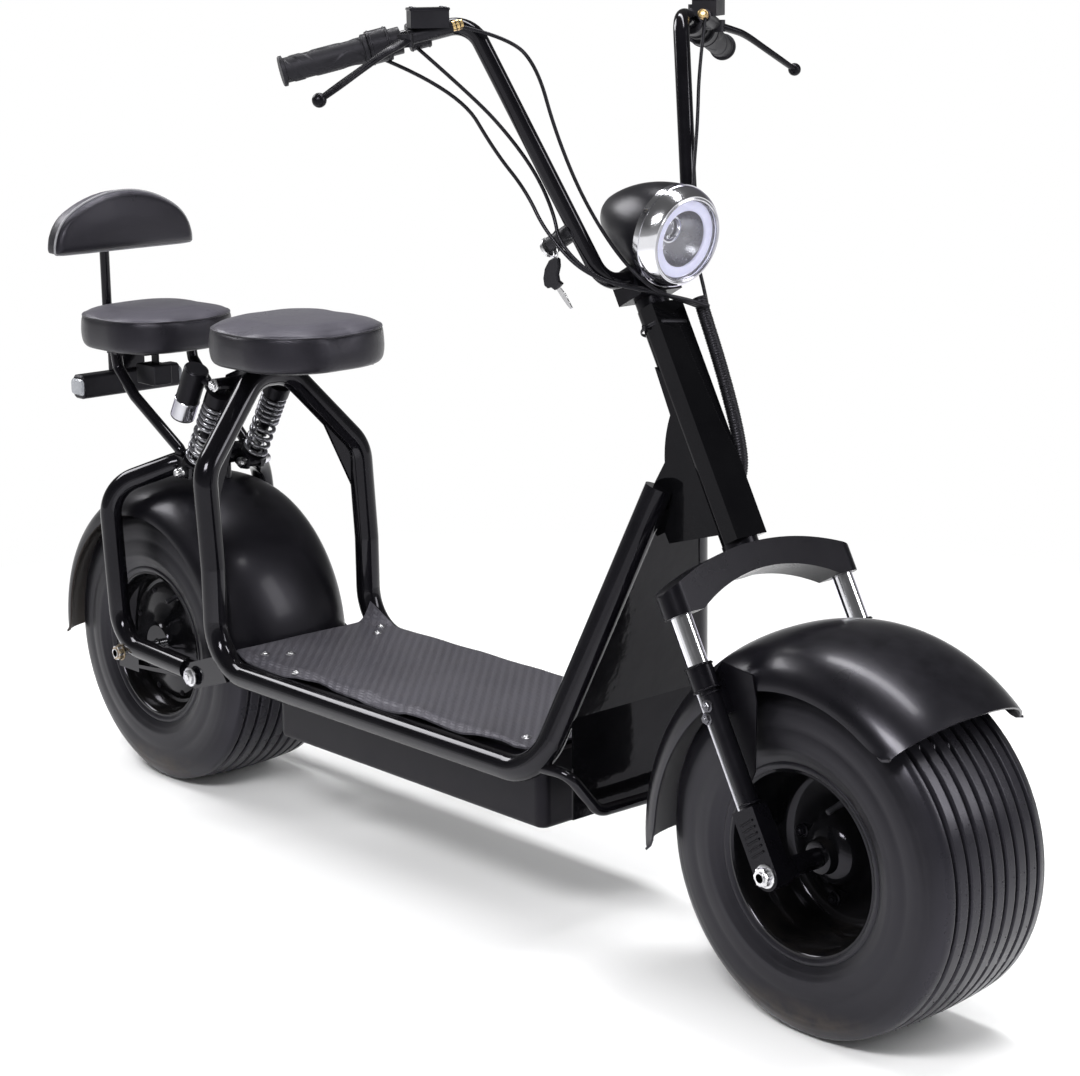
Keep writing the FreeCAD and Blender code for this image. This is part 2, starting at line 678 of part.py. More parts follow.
# Columns: ahead of the rear axle, above the floor, and the arc's radius to the next point.
NECK_ROWS = [(1096, 566, 0), (1186, 592, 0), (1082, 788, 0), (1070, 794, 0), (1098, 735, 150),
             (1088, 672, 0), (1060, 628, 0)]


def neck_plates():
    rows = []
    for ahead, up, bulge in NECK_ROWS:
        rows.append((str(ahead), str(up), str(bulge)))
    body = pushed("neck_blank", "XZ_Plane", rows, "Sizes.neck_sheet")
    doc.recompute()
    blank = body.Shape.copy()
    blank.translate(LEFT * (-size("neck_side") - blank.BoundBox.YMin))
    half = blank.cut([HEAD_SKIN, DOWN, fork_rod(AXIS, 0, 0, size("head_low"), size("race_radius") + 6)])
    shaped("neck_plates", both(half))
    return half


# Columns: ahead of the rails' front, above the floor, half width.
PANEL_ROWS = [(120, 612, 30), (40, 333, 121), (38, 192, 121)]


def front_panel(neck):
    start = size("rail_front")
    parts = []
    for high, low in zip(PANEL_ROWS, PANEL_ROWS[1:]):
        wide = [V(start + high[0], -high[2], high[1]), V(start + high[0], high[2], high[1]),
                V(start + low[0], low[2], low[1]), V(start + low[0], -low[2], low[1])]
        parts.append(plate(wide, V(size("panel_sheet"), 0, 0)))
    panel = parts[0].fuse(parts[1]).cut([DOWN, mirrored(DOWN), RAIL, mirrored(RAIL), neck, mirrored(neck)])
    shaped("front_panel", max(panel.Solids, key=lambda solid: solid.Volume))


# Columns: ahead of the rails' front, left of the middle, above the floor.
GUARD_ROUTE = [(2, -144, 262), (50, -138, 262), (68, -100, 206), (68, 0, 204)]


def guard_bar():
    route = [V(size("rail_front") + ahead, side, up) for ahead, side, up in GUARD_ROUTE]
    half = tube(route, size("guard_bend"), size("guard_radius")).cut(RAIL)
    shaped("guard_bar", half.fuse(mirrored(half)).removeSplitter())


head_tube()
NECK = neck_plates()
front_panel(NECK)
guard_bar()


# Fork bridge with the stem, the fork tubes and the sliders
# Plan of the bridge: a bar with round ends about the legs.
def bridge_plan():
    half = size("bridge_depth") / 2
    side = size("leg_side")
    low = size("bridge_top") - 2 * size("bridge_arch") - size("bridge_drop")
    high = size("bridge_top") + size("bridge_round")
    ends = [fork_rod(0, sign * side, low, high, half) for word, sign in SIDES]
    return fork_box((-half, -side, low), (half, side, high)).fuse(ends).removeSplitter()


def fork_bridge():
    half = "(Sizes.leg_side + Sizes.bridge_depth / 2)"
    top_half = f"({half} - Sizes.bridge_round)"
    foot = f"({half} - Sizes.bridge_foot)"
    top_end = "Sizes.bridge_top - Sizes.bridge_arch"
    low_end = f"{top_end} - Sizes.bridge_drop"
    crown = f"({top_half}^2 + Sizes.bridge_arch^2) / (2 * Sizes.bridge_arch)"
    hollow = f"-({foot}^2 + Sizes.bridge_arch^2) / (2 * Sizes.bridge_arch)"
    rows = [
        (foot, low_end, "0"),
        (half, low_end, "0"),
        (half, f"{top_end} - Sizes.bridge_round", "Sizes.bridge_round"),
        (top_half, top_end, crown),
        (f"-{top_half}", top_end, "Sizes.bridge_round"),
        (f"-{half}", f"{top_end} - Sizes.bridge_round", "0"),
        (f"-{half}", low_end, "0"),
        (f"-{foot}", low_end, hollow),
    ]
    body = pushed("bridge_blank", "YZ_Plane", rows, "Sizes.bridge_depth")
    doc.recompute()
    bridge = body.Shape.copy()
    bridge.translate(V(-size("bridge_depth") / 2, 0, 0))
    bridge.rotate(V(0, 0, 0), LEFT, -size("rake"))
    bridge.translate(FRONT)
    bridge = bridge.common(bridge_plan())
    leg_top = size("bridge_top") - size("bridge_arch") - size("bridge_round")
    legs = []
    for word, sign in SIDES:
        side = sign * size("leg_side")
        legs.append(fork_rod(0, side, size("collar_low") + size("collar_sink"), leg_top,
                             size("stanchion_radius")))
    stem_top = size("clamp_low") + size("nut_height")
    stem = fork_rod(AXIS, 0, size("bridge_top") - size("bridge_drop"), stem_top, size("stem_radius"))
    low_race = fork_rod(AXIS, 0, size("bridge_top") - size("bridge_drop"),
                        size("head_low") - size("skin_gap"), size("race_radius"))
    top_race = fork_rod(AXIS, 0, size("head_high") + size("skin_gap"),
                        size("clamp_low"), size("race_radius") - 2)
    shaped("fork_bridge", bridge.cut(legs).fuse([stem, low_race, top_race]).removeSplitter())
    shaped("stanchions", Part.makeCompound(legs))


def slider(sign):
    side = sign * size("leg_side")
    half = size("cast_width") / 2
    cast = size("cast_half")
    collar = fork_rod(0, side, size("collar_low"), size("collar_high"), size("collar_radius"))
    socket = fork_rod(0, side, size("collar_low") + size("collar_sink"), size("collar_high") + 1,
                      size("stanchion_radius"))
    damper = fork_rod(size("damper_lead"), side, size("cast_high") - 2, size("collar_low") + 2,
                      size("damper_radius"))
    thin = fork_rod(-size("rod_lag"), side, size("cast_high") - 2, size("collar_low") + 2,
                    size("rod_radius"))
    casting = fork_box((-cast, side - half, 0), (cast, side + half, size("cast_high")))
    eye = cross_rod(fork(0, side, 0), half, cast)
    inner = size("fender_half")
    reach = (inner, side) if sign > 0 else (side, -inner)
    stay = fork_box((-12, reach[0], 200), (12, reach[1], 240))
    pieces = [damper, thin, casting, eye, stay]
    if sign > 0:
        caliper = fork_box((-70, 106, 32), (-30, 133, 80)).cut(disc_space(FRONT))
        carrier = fork_box((-42, 121, 36), (4 - cast, 150, 72))
        pieces += [caliper, carrier]
    hole = cross_rod(fork(0, side, 0), half + 1, size("axle_radius"))
    return collar.cut(socket).fuse(pieces).cut([hole, socket]).removeSplitter()


fork_bridge()
shaped("fork_sliders", Part.makeCompound([slider(-1), slider(1)]))
axle("front_axle", FRONT, size("leg_side") + size("cast_width") / 2)


# Handlebar, its clamp, grips, controls and levers
BAR_ROUTE = [fork(1, 0, size("bar_base")), fork(1, -80, size("bar_base")), fork(44, -185, 1115),
             V(792, -388, 1176)]
HALF_BAR = tube(BAR_ROUTE, size("bar_bend"), size("bar_radius"))
BAR_END = BAR_ROUTE[3]
INWARD = (BAR_ROUTE[2] - BAR_END).normalize()
FORWARD = INWARD.cross(V(0, 0, 1)).normalize()
UP = V(0, 0, 1)


def along_bar(inward, ahead=0, up=0):
    return BAR_END + INWARD * inward + FORWARD * ahead + UP * up


# Headlight axis, from the pod's back forward and a little down
LAMP_BACK = V(965, 0, 985)
LAMP_AIM = V(math.cos(math.radians(size("pod_dip"))), 0, -math.sin(math.radians(size("pod_dip"))))
BEZEL_START = LAMP_BACK + LAMP_AIM * size("pod_length")


def clamp_block():
    deep = size("clamp_deep") / 2
    wide = size("clamp_wide") / 2
    return fork_box((AXIS - deep, -wide, size("clamp_low")), (AXIS + deep, wide, size("clamp_high")))


def handlebar_clamp():
    stem = fork_rod(AXIS, 0, 0, size("clamp_low") + size("nut_height"), size("stem_radius"))
    bezel_room = rod(BEZEL_START, BEZEL_START + LAMP_AIM * size("bezel_length"), size("pod_radius") + 1)
    shaped("handlebar_clamp", clamp_block().cut([HALF_BAR, mirrored(HALF_BAR), stem, bezel_room]))


def grips():
    flange = rod(along_bar(-4), along_bar(0), size("grip_flange"))
    collar = rod(along_bar(size("grip_length") - 6), along_bar(size("grip_length")), size("grip_flange"))
    grip = rod(along_bar(-2), along_bar(size("grip_length")), size("grip_radius"))
    hole = rod(along_bar(0), along_bar(size("grip_length") + 1), size("bar_radius"))
    shaped("grips", both(grip.fuse([flange, collar]).cut(hole)))


# Throttle housing, switch box, lever perch with its brake tank, mirror boss and lock.
def bar_controls():
    hole = rod(along_bar(0), BAR_ROUTE[2], size("bar_radius"))
    start = size("grip_length") + size("skin_gap")
    housing = rod(along_bar(start), along_bar(start + 27), 21)
    switch = rod(along_bar(start + 27), along_bar(start + 42), 17)
    perch = rod(along_bar(160), along_bar(186), 17)
    cylinder = rod(along_bar(156, 26, 2), along_bar(212, 26, 2), 9)
    arm = rod(along_bar(173), along_bar(173, 26, 2), 8)
    tank = Part.makeBox(48, 34, 22, V(-24, -17, 0))
    tank.rotate(V(0, 0, 0), UP, math.degrees(math.atan2(INWARD.y, INWARD.x)))
    tank.translate(along_bar(182, 24, 8))
    boss_top = size("mirror_boss")
    boss = rod(along_bar(167), along_bar(167, 0, boss_top), size("mirror_hole") + 4)
    thread = rod(along_bar(167, 0, boss_top - size("mirror_depth")), along_bar(167, 0, boss_top + 1),
                 size("mirror_hole"))
    fork_of_lever = rod(along_bar(152, 30, -8), along_bar(152, 30, 8), 10)
    arm_of_lever = rod(along_bar(152, 30, 0), along_bar(168, 10, 0), 7)
    controls = housing.fuse([switch, perch, cylinder, arm, tank, boss, fork_of_lever, arm_of_lever])
    controls = controls.cut([hole, thread]).removeSplitter()
    banjo = rod(along_bar(212.3, 26, 2), along_bar(226, 26, 2), 6)
    lock_spot = fork(10, -104, 840)
    lock = rod(lock_spot, lock_spot - AHEAD_FORK * 46, size("lock_radius")).cut(HALF_BAR)
    shaped("bar_controls", Part.makeCompound([controls, mirrored(controls), banjo, mirrored(banjo), lock]))
    return controls.fuse(banjo)


def brake_levers(controls):
    tip = V(903, -419, 1146)
    route = [along_bar(152, 34, 0), along_bar(120, 62, -6), tip]
    blade = tube(route, 30, 6)
    ball = Part.makeSphere(9, tip)
    lever = blade.fuse(ball).cut(controls)
    shaped("brake_levers", both(max(lever.Solids, key=lambda solid: solid.Volume)))


shaped("handlebar", HALF_BAR.fuse(mirrored(HALF_BAR)).removeSplitter())
handlebar_clamp()
grips()
CONTROLS = bar_controls()
brake_levers(CONTROLS)


# Headlight: pod, chrome bezel and lens; the pod is notched round the bar and its clamp
def headlight():
    turn = FreeCAD.Rotation(LEFT, LAMP_AIM)
    bowl = "Sizes.pod_length - Sizes.bowl_depth"
    pod = turned("pod_blank", [
        ("0", "0", "0"),
        (bowl, "0", "0"),
        (bowl, "Sizes.pod_bowl / 3", "0"),
        ("Sizes.pod_length", "Sizes.pod_bowl", "0"),
        ("Sizes.pod_length", "Sizes.pod_radius", "Sizes.pod_bulge"),
        ("Sizes.pod_slope", "Sizes.pod_back", "0"),
        ("0", "Sizes.pod_back - Sizes.pod_slope", "0"),
    ])
    bezel = turned("headlight_bezel", [
        ("0", "Sizes.pod_bowl", "0"),
        ("Sizes.bezel_length", "Sizes.pod_bowl - Sizes.bezel_taper", "0"),
        ("Sizes.bezel_length", "Sizes.bezel_front", "Sizes.bezel_bulge"),
        ("0", "Sizes.pod_radius", "0"),
    ])
    lens_edge = "Sizes.pod_bowl - Sizes.bezel_taper - Sizes.skin_gap"
    lens = turned("headlight_lens", [
        ("0", "0", "0"),
        ("Sizes.lens_sheet", "0", "0"),
        ("Sizes.lens_sheet", lens_edge, "0"),
        ("0", lens_edge, "0"),
    ])
    doc.recompute()
    pod_shape = pod.Shape.copy()
    pod_shape.Placement = FreeCAD.Placement(LAMP_BACK, turn)
    bar_room = rod(fork(1, -80, size("bar_base")), fork(1, 80, size("bar_base")),
                   size("bar_radius") + size("skin_gap"))
    pod_shape = pod_shape.cut([bar_room, clamp_block()])
    shaped("headlight_shell", max(pod_shape.Solids, key=lambda solid: solid.Volume))
    keep(bezel, BEZEL_START, turn)
    lens_spot = size("bezel_length") - size("lens_sink")
    keep(lens, BEZEL_START + LAMP_AIM * lens_spot, turn)


headlight()


# Cables from the controls down to the tie below the headlight, and the loom from there
# Columns: ahead of the rear axle, left of the middle, above the floor.
LOOM_ROUTE = [(1102, 38, 858), (1132, 38, 790), (1162, 36, 716), (1172, 36, 664), (1150, 34, 622),
              (1112, 24, 606)]
# Columns: ahead of the fork legs, left of the middle, up along the fork.
TIE_RUNS = {
    "throttle": [(7, -108, 774), (37, -34, 738), (37, 34, 706)],
    "lever": [(12, -98, 767), (44, -32, 730), (44, 36, 704)],
    "hose": [(30, -66, 786), (48, -44, 730), (51, 6, 714), (52, 33, 702)],
    "far": [(26, 70, 790), (34, 56, 736), (38, 45, 706)],
}
# Columns: run's name, start on the controls, points in space as above.
CABLES = [
    ("throttle", (128, 0, -18), [(921, -215, 1148), (924, -160, 1069), (948, -130, 1020), (984, -129, 968)]),
    ("lever", (170, 8, -14), [(934, -200, 1138), (950, -158, 1090), (968, -128, 1040), (986, -116, 990),
                              (1003, -124, 955)]),
    ("hose", (218, 29, 2), [(955, -160, 1212), (986, -142, 1176), (993, -120, 1096), (1013, -92, 1010)]),
    ("far", (218, 29, 2), [(948, -182, 1160), (985, -142, 1090), (1012, -106, 1022)]),
]


def bar_cables():
    runs = []
    for name, start, spots in CABLES:
        sign = -1 if name == "far" else 1
        points = [along_bar(*start)] + [V(*spot) for spot in spots]
        points = [V(point.x, point.y * sign, point.z) for point in points]
        points += [fork(*spot) for spot in TIE_RUNS[name]]
        run = tube(points, 8, size("cable_radius")).cut([CONTROLS, mirrored(CONTROLS)])
        runs.append(max(run.Solids, key=lambda solid: solid.Volume))
    shaped("bar_cables", Part.makeCompound(runs))


def wiring_loom():
    loom = tube([V(*spot) for spot in LOOM_ROUTE], 18, size("loom_radius")).cut(mirrored(NECK))
    shaped("wiring_loom", max(loom.Solids, key=lambda solid: solid.Volume))


bar_cables()
wiring_loom()


# Swing arms, rear axle and shocks
# Columns: ahead of the rear axle, left of the middle, above the floor.
ARM_ROUTE = [(165, -149, 232), (-20, -149, 240), (-38, -149, 488), (40, -57, 531), (40, 0, 531)]
HALF_ARM = tube([V(*row) for row in ARM_ROUTE], size("arm_bend"), size("arm_radius"))


def swing_arms():
    side = size("arm_side")
    flat = size("lug_sheet")
    eye = cross_rod(PIVOT, flat, size("nut_radius") + flat)
    tail = box((150, -side - flat, size("pivot_height") - 14), (PIVOT.x, -side + flat, size("pivot_height") + 14))
    dropout = box((-26, -side - 4, size("tyre_radius") - 30), (30, -side + 4, size("tyre_radius") + 12))
    strap = plate([V(-20, -side - 4, 206), V(10, -side - 4, 204), V(160, -side - 4, 216), V(160, -side - 4, 224)],
                  LEFT * flat)
    bolt = cross_rod(SHOCK_LOW, size("shock_eye_width") / 2 + 2 * flat, size("shock_bolt"))
    ears = []
    half_eye = size("shock_eye_width") / 2
    for start in (-half_eye - flat, half_eye):
        ear = [SHOCK_LOW + V(ahead, start, up) for ahead, up in [(-30, 0), (-30, 24), (-6, 22), (12, 6), (10, -11),
                                                                 (-8, -12)]]
        ears.append(plate(ear, LEFT * flat))
    mount = rod(V(size("cross_x"), -24, size("cross_height")), V(size("cross_x"), -24, 480), 8)
    mount = mount.cut(fender_solid("rear_fender"))
    mount = max(mount.Solids, key=lambda solid: solid.BoundBox.ZMax)
    hole = cross_rod(V(0, -side, size("tyre_radius")), side / 4, size("axle_radius"))
    pivot_hole = cross_rod(PIVOT, size("arm_radius"), size("pivot_bolt"))
    arm = HALF_ARM.fuse([eye, tail, dropout, strap, bolt, mount] + ears)
    arm = arm.cut([hole, pivot_hole, RAIL]).removeSplitter()
    caliper = box((15, 99, 272), (58, 128, 316)).cut(disc_space(REAR))
    link = box((22, 121, 238), (50, 140, 290))
    left_arm = mirrored(arm).fuse([caliper, link]).removeSplitter()
    shaped("swing_arm_right", arm)
    shaped("swing_arm_left", left_arm)
    return arm


# Ribbed sleeve that stands for the spring: one round rib a turn.
def coil_profile(inner, valley, length):
    turns = int(size("coil_turns"))
    pitch = length / turns
    edges = []
    for turn in range(turns):
        low = V(valley, 0, pitch * turn)
        high = V(valley, 0, pitch * (turn + 1))
        crest = V(valley + size("coil_wire"), 0, pitch * (turn + 0.5))
        edges.append(Part.Arc(low, crest, high).toShape())
    corners = [V(valley, 0, length), V(inner, 0, length), V(inner, 0, 0), V(valley, 0, 0)]
    for start, end in zip(corners, corners[1:]):
        edges.append(Part.makeLine(start, end))
    return Part.Face(Part.Wire(edges)).revolve(V(0, 0, 0), V(0, 0, 1), 360)


def shocks():
    way = (SHOCK_HIGH - SHOCK_LOW).normalize()
    span = (SHOCK_HIGH - SHOCK_LOW).Length
    half_eye = size("shock_eye_width") / 2
    eye = size("shock_eye")
    cap = size("cap_height")
    low_seat = eye + 6
    coil = size("coil_radius")
    wire = size("coil_wire")

    def at(distance):
        return SHOCK_LOW + way * distance

    body = rod(SHOCK_LOW, SHOCK_HIGH, size("damper_tube"))
    eyes = [cross_rod(spot, half_eye, eye) for spot in (SHOCK_LOW, SHOCK_HIGH)]
    low_cup = rod(at(low_seat), at(low_seat + 4), coil)
    high_cup = rod(at(span - low_seat - cap), at(span - low_seat), coil)
    bolts = [cross_rod(spot, half_eye + 1, size("shock_bolt")) for spot in (SHOCK_LOW, SHOCK_HIGH)]
    body = body.fuse(eyes + [low_cup, high_cup]).cut(bolts)
    low_end = low_seat + 4
    high_end = span - low_seat - cap
    spring = coil_profile(size("damper_tube"), coil - wire, high_end - low_end)
    spring.Placement = FreeCAD.Placement(at(low_end), FreeCAD.Rotation(V(0, 0, 1), way))
    tank_top = V(114, -75, 688)
    tank_low = V(70, -76, 608)
    tank = rod(tank_top, tank_low, size("tank_radius"))
    neck = rod(tank_top + V(-8, 0, -14), V(136, -67, 668), 6)
    body_near = body.fuse([tank, neck]).removeSplitter()
    shaped("shock_bodies", Part.makeCompound([body_near, mirrored(body)]))
    shaped("shock_springs", both(spring))


ARM = swing_arms()
axle("rear_axle", REAR, size("arm_side") + size("arm_radius"))
shocks()


# Seats on their pans, the backrest, and the frame that carries the rear seat and lamp
def seat(name, x, low):
    rows = rounded_rows(f"Sizes.{name}_long", f"Sizes.{name}_wide", f"Sizes.{name}_corner")
    tall = size(f"{name}_tall")

    def at_top(edge):
        return edge.BoundBox.ZMin > tall - 1

    def at_floor(edge):
        return edge.BoundBox.ZMax < 1

    body = pushed(name, "XY_Plane", rows, f"Sizes.{name}_tall",
                  [("Sizes.seat_round", at_top), ("Sizes.seat_under", at_floor)])
    keep(body, V(x, 0, low))


def seat_pans():
    pans = []
    for name in ("front_seat", "rear_seat"):
        long = size(f"{name}_long") - size("pan_inset")
        wide = size(f"{name}_wide") - size("pan_inset")
        x = size(f"{name}_x")
        top = size(f"{name}_low")
        pans.append(box((x - long, -wide, top - size("pan_sheet")), (x + long, wide, top)))
    shaped("seat_pans", Part.makeCompound(pans))


def backrest():
    corner = "Sizes.rest_corner"
    rise = "(Sizes.rest_tall - Sizes.rest_side)"
    inner = f"(Sizes.rest_half - {corner})"
    crown = f"(({inner}^2 + {rise}^2 - {corner}^2) / (2 * ({rise} - {corner})))"
    share = f"({crown} / ({crown} - {corner}))"
    rows = symmetric([
        ("Sizes.rest_half - Sizes.rest_side", "0", "Sizes.rest_side"),
        ("Sizes.rest_half", "Sizes.rest_side", corner),
        (f"{inner} * {share}", f"Sizes.rest_tall - {crown} + ({crown} - {rise}) * {share}", crown),
    ])

    def at_side(edge):
        return edge.BoundBox.XMax - edge.BoundBox.XMin < 1

    body = pushed("backrest", "YZ_Plane", rows, "Sizes.rest_deep", [("Sizes.seat_under", at_side)])
    keep(body, V(size("rest_back"), 0, size("post_top") - size("rest_drop")))


def rear_seat_frame():
    radius = size("post_radius")
    pan_low = size("rear_seat_low") - size("pan_sheet")
    run = pan_low - radius
    x = size("post_x")
    post = tube([V(x, 0, size("post_top")), V(x, 0, run), V(-110, 0, run)], 30, radius)
    stub = rod(V(x, 0, size("post_top") - 10), V(size("rest_back"), 0, size("post_top") - 10), radius)
    lamp_top = pan_low - size("lamp_drop") + size("lamp_tall") / 2
    tab = box((size("lamp_x") - 2, -34, lamp_top), (size("lamp_x") + 2, 34, pan_low))
    rail = box((-132, -80, pan_low - 5), (-104, 80, pan_low))
    pieces = [post, stub, tab, rail]
    strut = tube([V(-118, -72, pan_low - 2), V(-112, -72, 662), V(-68, -72, 622), V(40, -62, 548),
                  V(size("cross_x"), -60, size("cross_height"))], 12, size("strut_radius"))
    strut = strut.cut(ARM)
    strut = max(strut.Solids, key=lambda solid: solid.Volume)
    pieces += [strut, mirrored(strut)]
    shaped("rear_seat_frame", post.fuse(pieces[1:]).removeSplitter())


def tail_lamps():
    rows = rounded_rows("(Sizes.lamp_deep / 2)", "(Sizes.lamp_tall / 2)", "(Sizes.lamp_tall / 4)")

    def at_ends(edge):
        return edge.BoundBox.YMax - edge.BoundBox.YMin < 1

    body = pushed("tail_lamps", "XZ_Plane", rows, "2 * Sizes.lamp_half", [("Sizes.lamp_tall / 8", at_ends)])
    doc.recompute()
    shift = -size("lamp_half") - body.Shape.BoundBox.YMin
    height = size("rear_seat_low") - size("pan_sheet") - size("lamp_drop")
    keep(body, V(size("lamp_x"), shift, height))


seat("front_seat", size("front_seat_x"), size("front_seat_low"))
seat("rear_seat", size("rear_seat_x"), size("rear_seat_low"))
seat_pans()
backrest()
rear_seat_frame()
tail_lamps()


# Side stand, left of the deck, on a tilted pin so that it swings up and back
def side_stand():
    tilt = math.radians(size("stand_tilt"))
    axis = V(0, math.cos(tilt), math.sin(tilt))
    up = V(0, -math.sin(tilt), math.cos(tilt))
    pivot = V(size("stand_x"), size("stand_side"), size("stand_height"))
    half = 8
    pin = rod(pivot - axis * (half + 2), pivot + axis * half, size("stand_pin"))
    boss = rod(pivot - axis * half, pivot + axis * half, size("stand_boss"))
    bore = rod(pivot - axis * (half + 1), pivot + axis * (half + 1), size("stand_pin") + size("fit_gap"))
    foot = V(490, 262, 9)
    leg = rod(pivot, foot, size("stand_leg"))
    pad = box((467, 250, 0), (513, 280, 8))
    shaped("side_stand", boss.fuse([leg, pad]).cut(bore).removeSplitter())
    face = pivot - axis * (half + size("skin_gap"))
    corners = [(-14, -14), (14, -14), (22, 44), (-22, 44)]
    points = [face + V(ahead, 0, 0) + up * rise for ahead, rise in corners]
    bracket = plate(points, axis * -size("lug_sheet")).cut(mirrored(RAIL))
    bracket = max(bracket.Solids, key=lambda solid: solid.Volume)
    shaped("stand_bracket", bracket.fuse(pin))


side_stand()

doc.recompute()
for node in nodes:
    bad = [state for state in node.State if state in ("Invalid", "Error")]
    if bad or node.Shape.isNull() or not node.Shape.isValid():
        raise RuntimeError(f"{node.Label} is not a sound solid: {node.State}")
    node.Shape.exportStep(f"parts/{node.Label}.step")
print(len(nodes), "nodes")
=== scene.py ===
import bpy, bmesh, math
from mathutils import Matrix, Vector
from mathutils.bvhtree import BVHTree


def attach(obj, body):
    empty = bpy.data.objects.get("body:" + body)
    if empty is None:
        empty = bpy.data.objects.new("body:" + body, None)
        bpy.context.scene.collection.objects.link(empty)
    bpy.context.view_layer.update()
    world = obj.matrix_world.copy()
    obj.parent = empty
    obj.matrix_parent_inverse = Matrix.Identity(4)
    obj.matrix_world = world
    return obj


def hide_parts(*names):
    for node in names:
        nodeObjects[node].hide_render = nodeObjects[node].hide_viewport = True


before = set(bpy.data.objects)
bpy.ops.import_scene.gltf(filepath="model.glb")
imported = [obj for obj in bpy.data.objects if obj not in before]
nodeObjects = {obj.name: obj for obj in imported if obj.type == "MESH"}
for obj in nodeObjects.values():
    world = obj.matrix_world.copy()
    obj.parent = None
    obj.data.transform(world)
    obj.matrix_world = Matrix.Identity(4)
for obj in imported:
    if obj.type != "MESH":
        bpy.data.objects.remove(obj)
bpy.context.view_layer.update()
print("frame loaded:", len(nodeObjects), "nodes")

# Sizes below are millimetres from the rear axle: ahead, to the left, above the floor.
axleBack = 681
wheelBase = 1400
wheelHeight = 228.6
rake = math.radians(28.3)
upFork = Vector((-math.sin(rake), 0, math.cos(rake)))
aheadFork = Vector((math.cos(rake), 0, math.sin(rake)))
sideways = Vector((0, 1, 0))
skyward = Vector((0, 0, 1))
fullTurn = 2 * math.pi


def spot(ahead, left, up):
    return Vector((ahead - axleBack, left, up)) / 1000


def forkSpot(ahead, left, up):
    along = aheadFork * ahead + upFork * up
    return spot(wheelBase + along.x, left, wheelHeight + along.z)


def turnAngles(count):
    return [fullTurn * step / count for step in range(count)]


# Mesh helpers
def newObject(name, data):
    thing = bpy.data.objects.new(name, data)
    bpy.context.scene.collection.objects.link(thing)
    return thing


def newMesh(name, verts, faces):
    mesh = bpy.data.meshes.new(name)
    mesh.from_pydata([tuple(vert) for vert in verts], [], faces)
    return mesh


def evaluatedMesh(piece):
    bpy.context.view_layer.update()
    return bpy.data.meshes.new_from_object(piece.evaluated_get(bpy.context.evaluated_depsgraph_get()))


def shaded(mesh, sharpAngle):
    for polygon in mesh.polygons:
        polygon.use_smooth = True
    mesh.set_sharp_from_angle(angle=math.radians(sharpAngle))


def addPiece(name, verts, faces, material, sharpAngle=35):
    mesh = newMesh(name, verts, faces)
    mergeWithin = 1e-6
    work = bmesh.new()
    work.from_mesh(mesh)
    bmesh.ops.remove_doubles(work, verts=work.verts, dist=mergeWithin)
    bmesh.ops.recalc_face_normals(work, faces=work.faces)
    work.to_mesh(mesh)
    work.free()
    shaded(mesh, sharpAngle)
    mesh.materials.append(material)
    return newObject(name, mesh)


# Rides on a body and may stand for CAD nodes, which it hides.
def settle(piece, body, slot, *stoodFor):
    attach(piece, body)
    if stoodFor:
        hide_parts(*stoodFor)
    return piece


def stacked(shapes):
    verts, faces = [], []
    for someVerts, someFaces in shapes:
        start = len(verts)
        verts += someVerts
        faces += [tuple(index + start for index in face) for face in someFaces]
    return verts, faces


# One settled piece from several shapes.
def fitted(name, shapes, finish, body, slot, *stoodFor, sharpAngle=35):
    piece = addPiece(name, *stacked(shapes), finishes[finish], sharpAngle)
    return settle(piece, body, slot, *stoodFor)


def axes(origin, first, second, third):
    return Matrix.Translation(origin) @ Matrix((first, second, third)).transposed().to_4x4()


# Matrix whose X axis points along a direction.
def aimed(origin, direction):
    ahead = direction.normalized()
    side = ahead.cross(skyward)
    if side.length < 1e-4:
        side = sideways.copy()
    side.normalize()
    return axes(origin, ahead, side, side.cross(ahead))


# Quads between rows of points. Both ways may close on themselves.
def gridFaces(rows, columns, closeRows=False, closeColumns=True):
    faces = []
    for row in range(rows if closeRows else rows - 1):
        after = (row + 1) % rows
        for column in range(columns if closeColumns else columns - 1):
            turn = (column + 1) % columns
            faces.append((row * columns + column, row * columns + turn,
                          after * columns + turn, after * columns + column))
    return faces


# Turned shape: rows of (along, radius) in millimetres about the matrix's X axis.
def turnedMesh(rows, matrix, steps, closed=True):
    verts = []
    for angle in turnAngles(steps):
        for along, radius in rows:
            local = Vector((along, radius * math.cos(angle), radius * math.sin(angle))) / 1000
            verts.append(matrix @ local)
    return verts, gridFaces(steps, len(rows), True, closed)


# Ring of round wire about a direction, radii in millimetres.
def ringMesh(centre, direction, radius, wireRadius, steps=48, around=12):
    rows = [(wireRadius * math.cos(angle), radius + wireRadius * math.sin(angle)) for angle in turnAngles(around)]
    return turnedMesh(rows, aimed(centre, direction), steps)


# Flat piece from its outline in the matrix's YZ plane, with softened edges.
def slabMesh(outline, matrix, thick, soften):
    count = len(outline)
    middleY = sum(y for y, z in outline) / count
    middleZ = sum(z for y, z in outline) / count
    verts = []
    for along, inset in ((0, soften), (soften, 0), (thick - soften, 0), (thick, soften)):
        for y, z in outline:
            length = math.hypot(y - middleY, z - middleZ)
            share = (length - inset) / length
            local = Vector((along, middleY + (y - middleY) * share, middleZ + (z - middleZ) * share))
            verts.append(matrix @ (local / 1000))
    caps = [tuple(reversed(range(count))), tuple(3 * count + index for index in range(count))]
    return verts, caps + gridFaces(4, count)


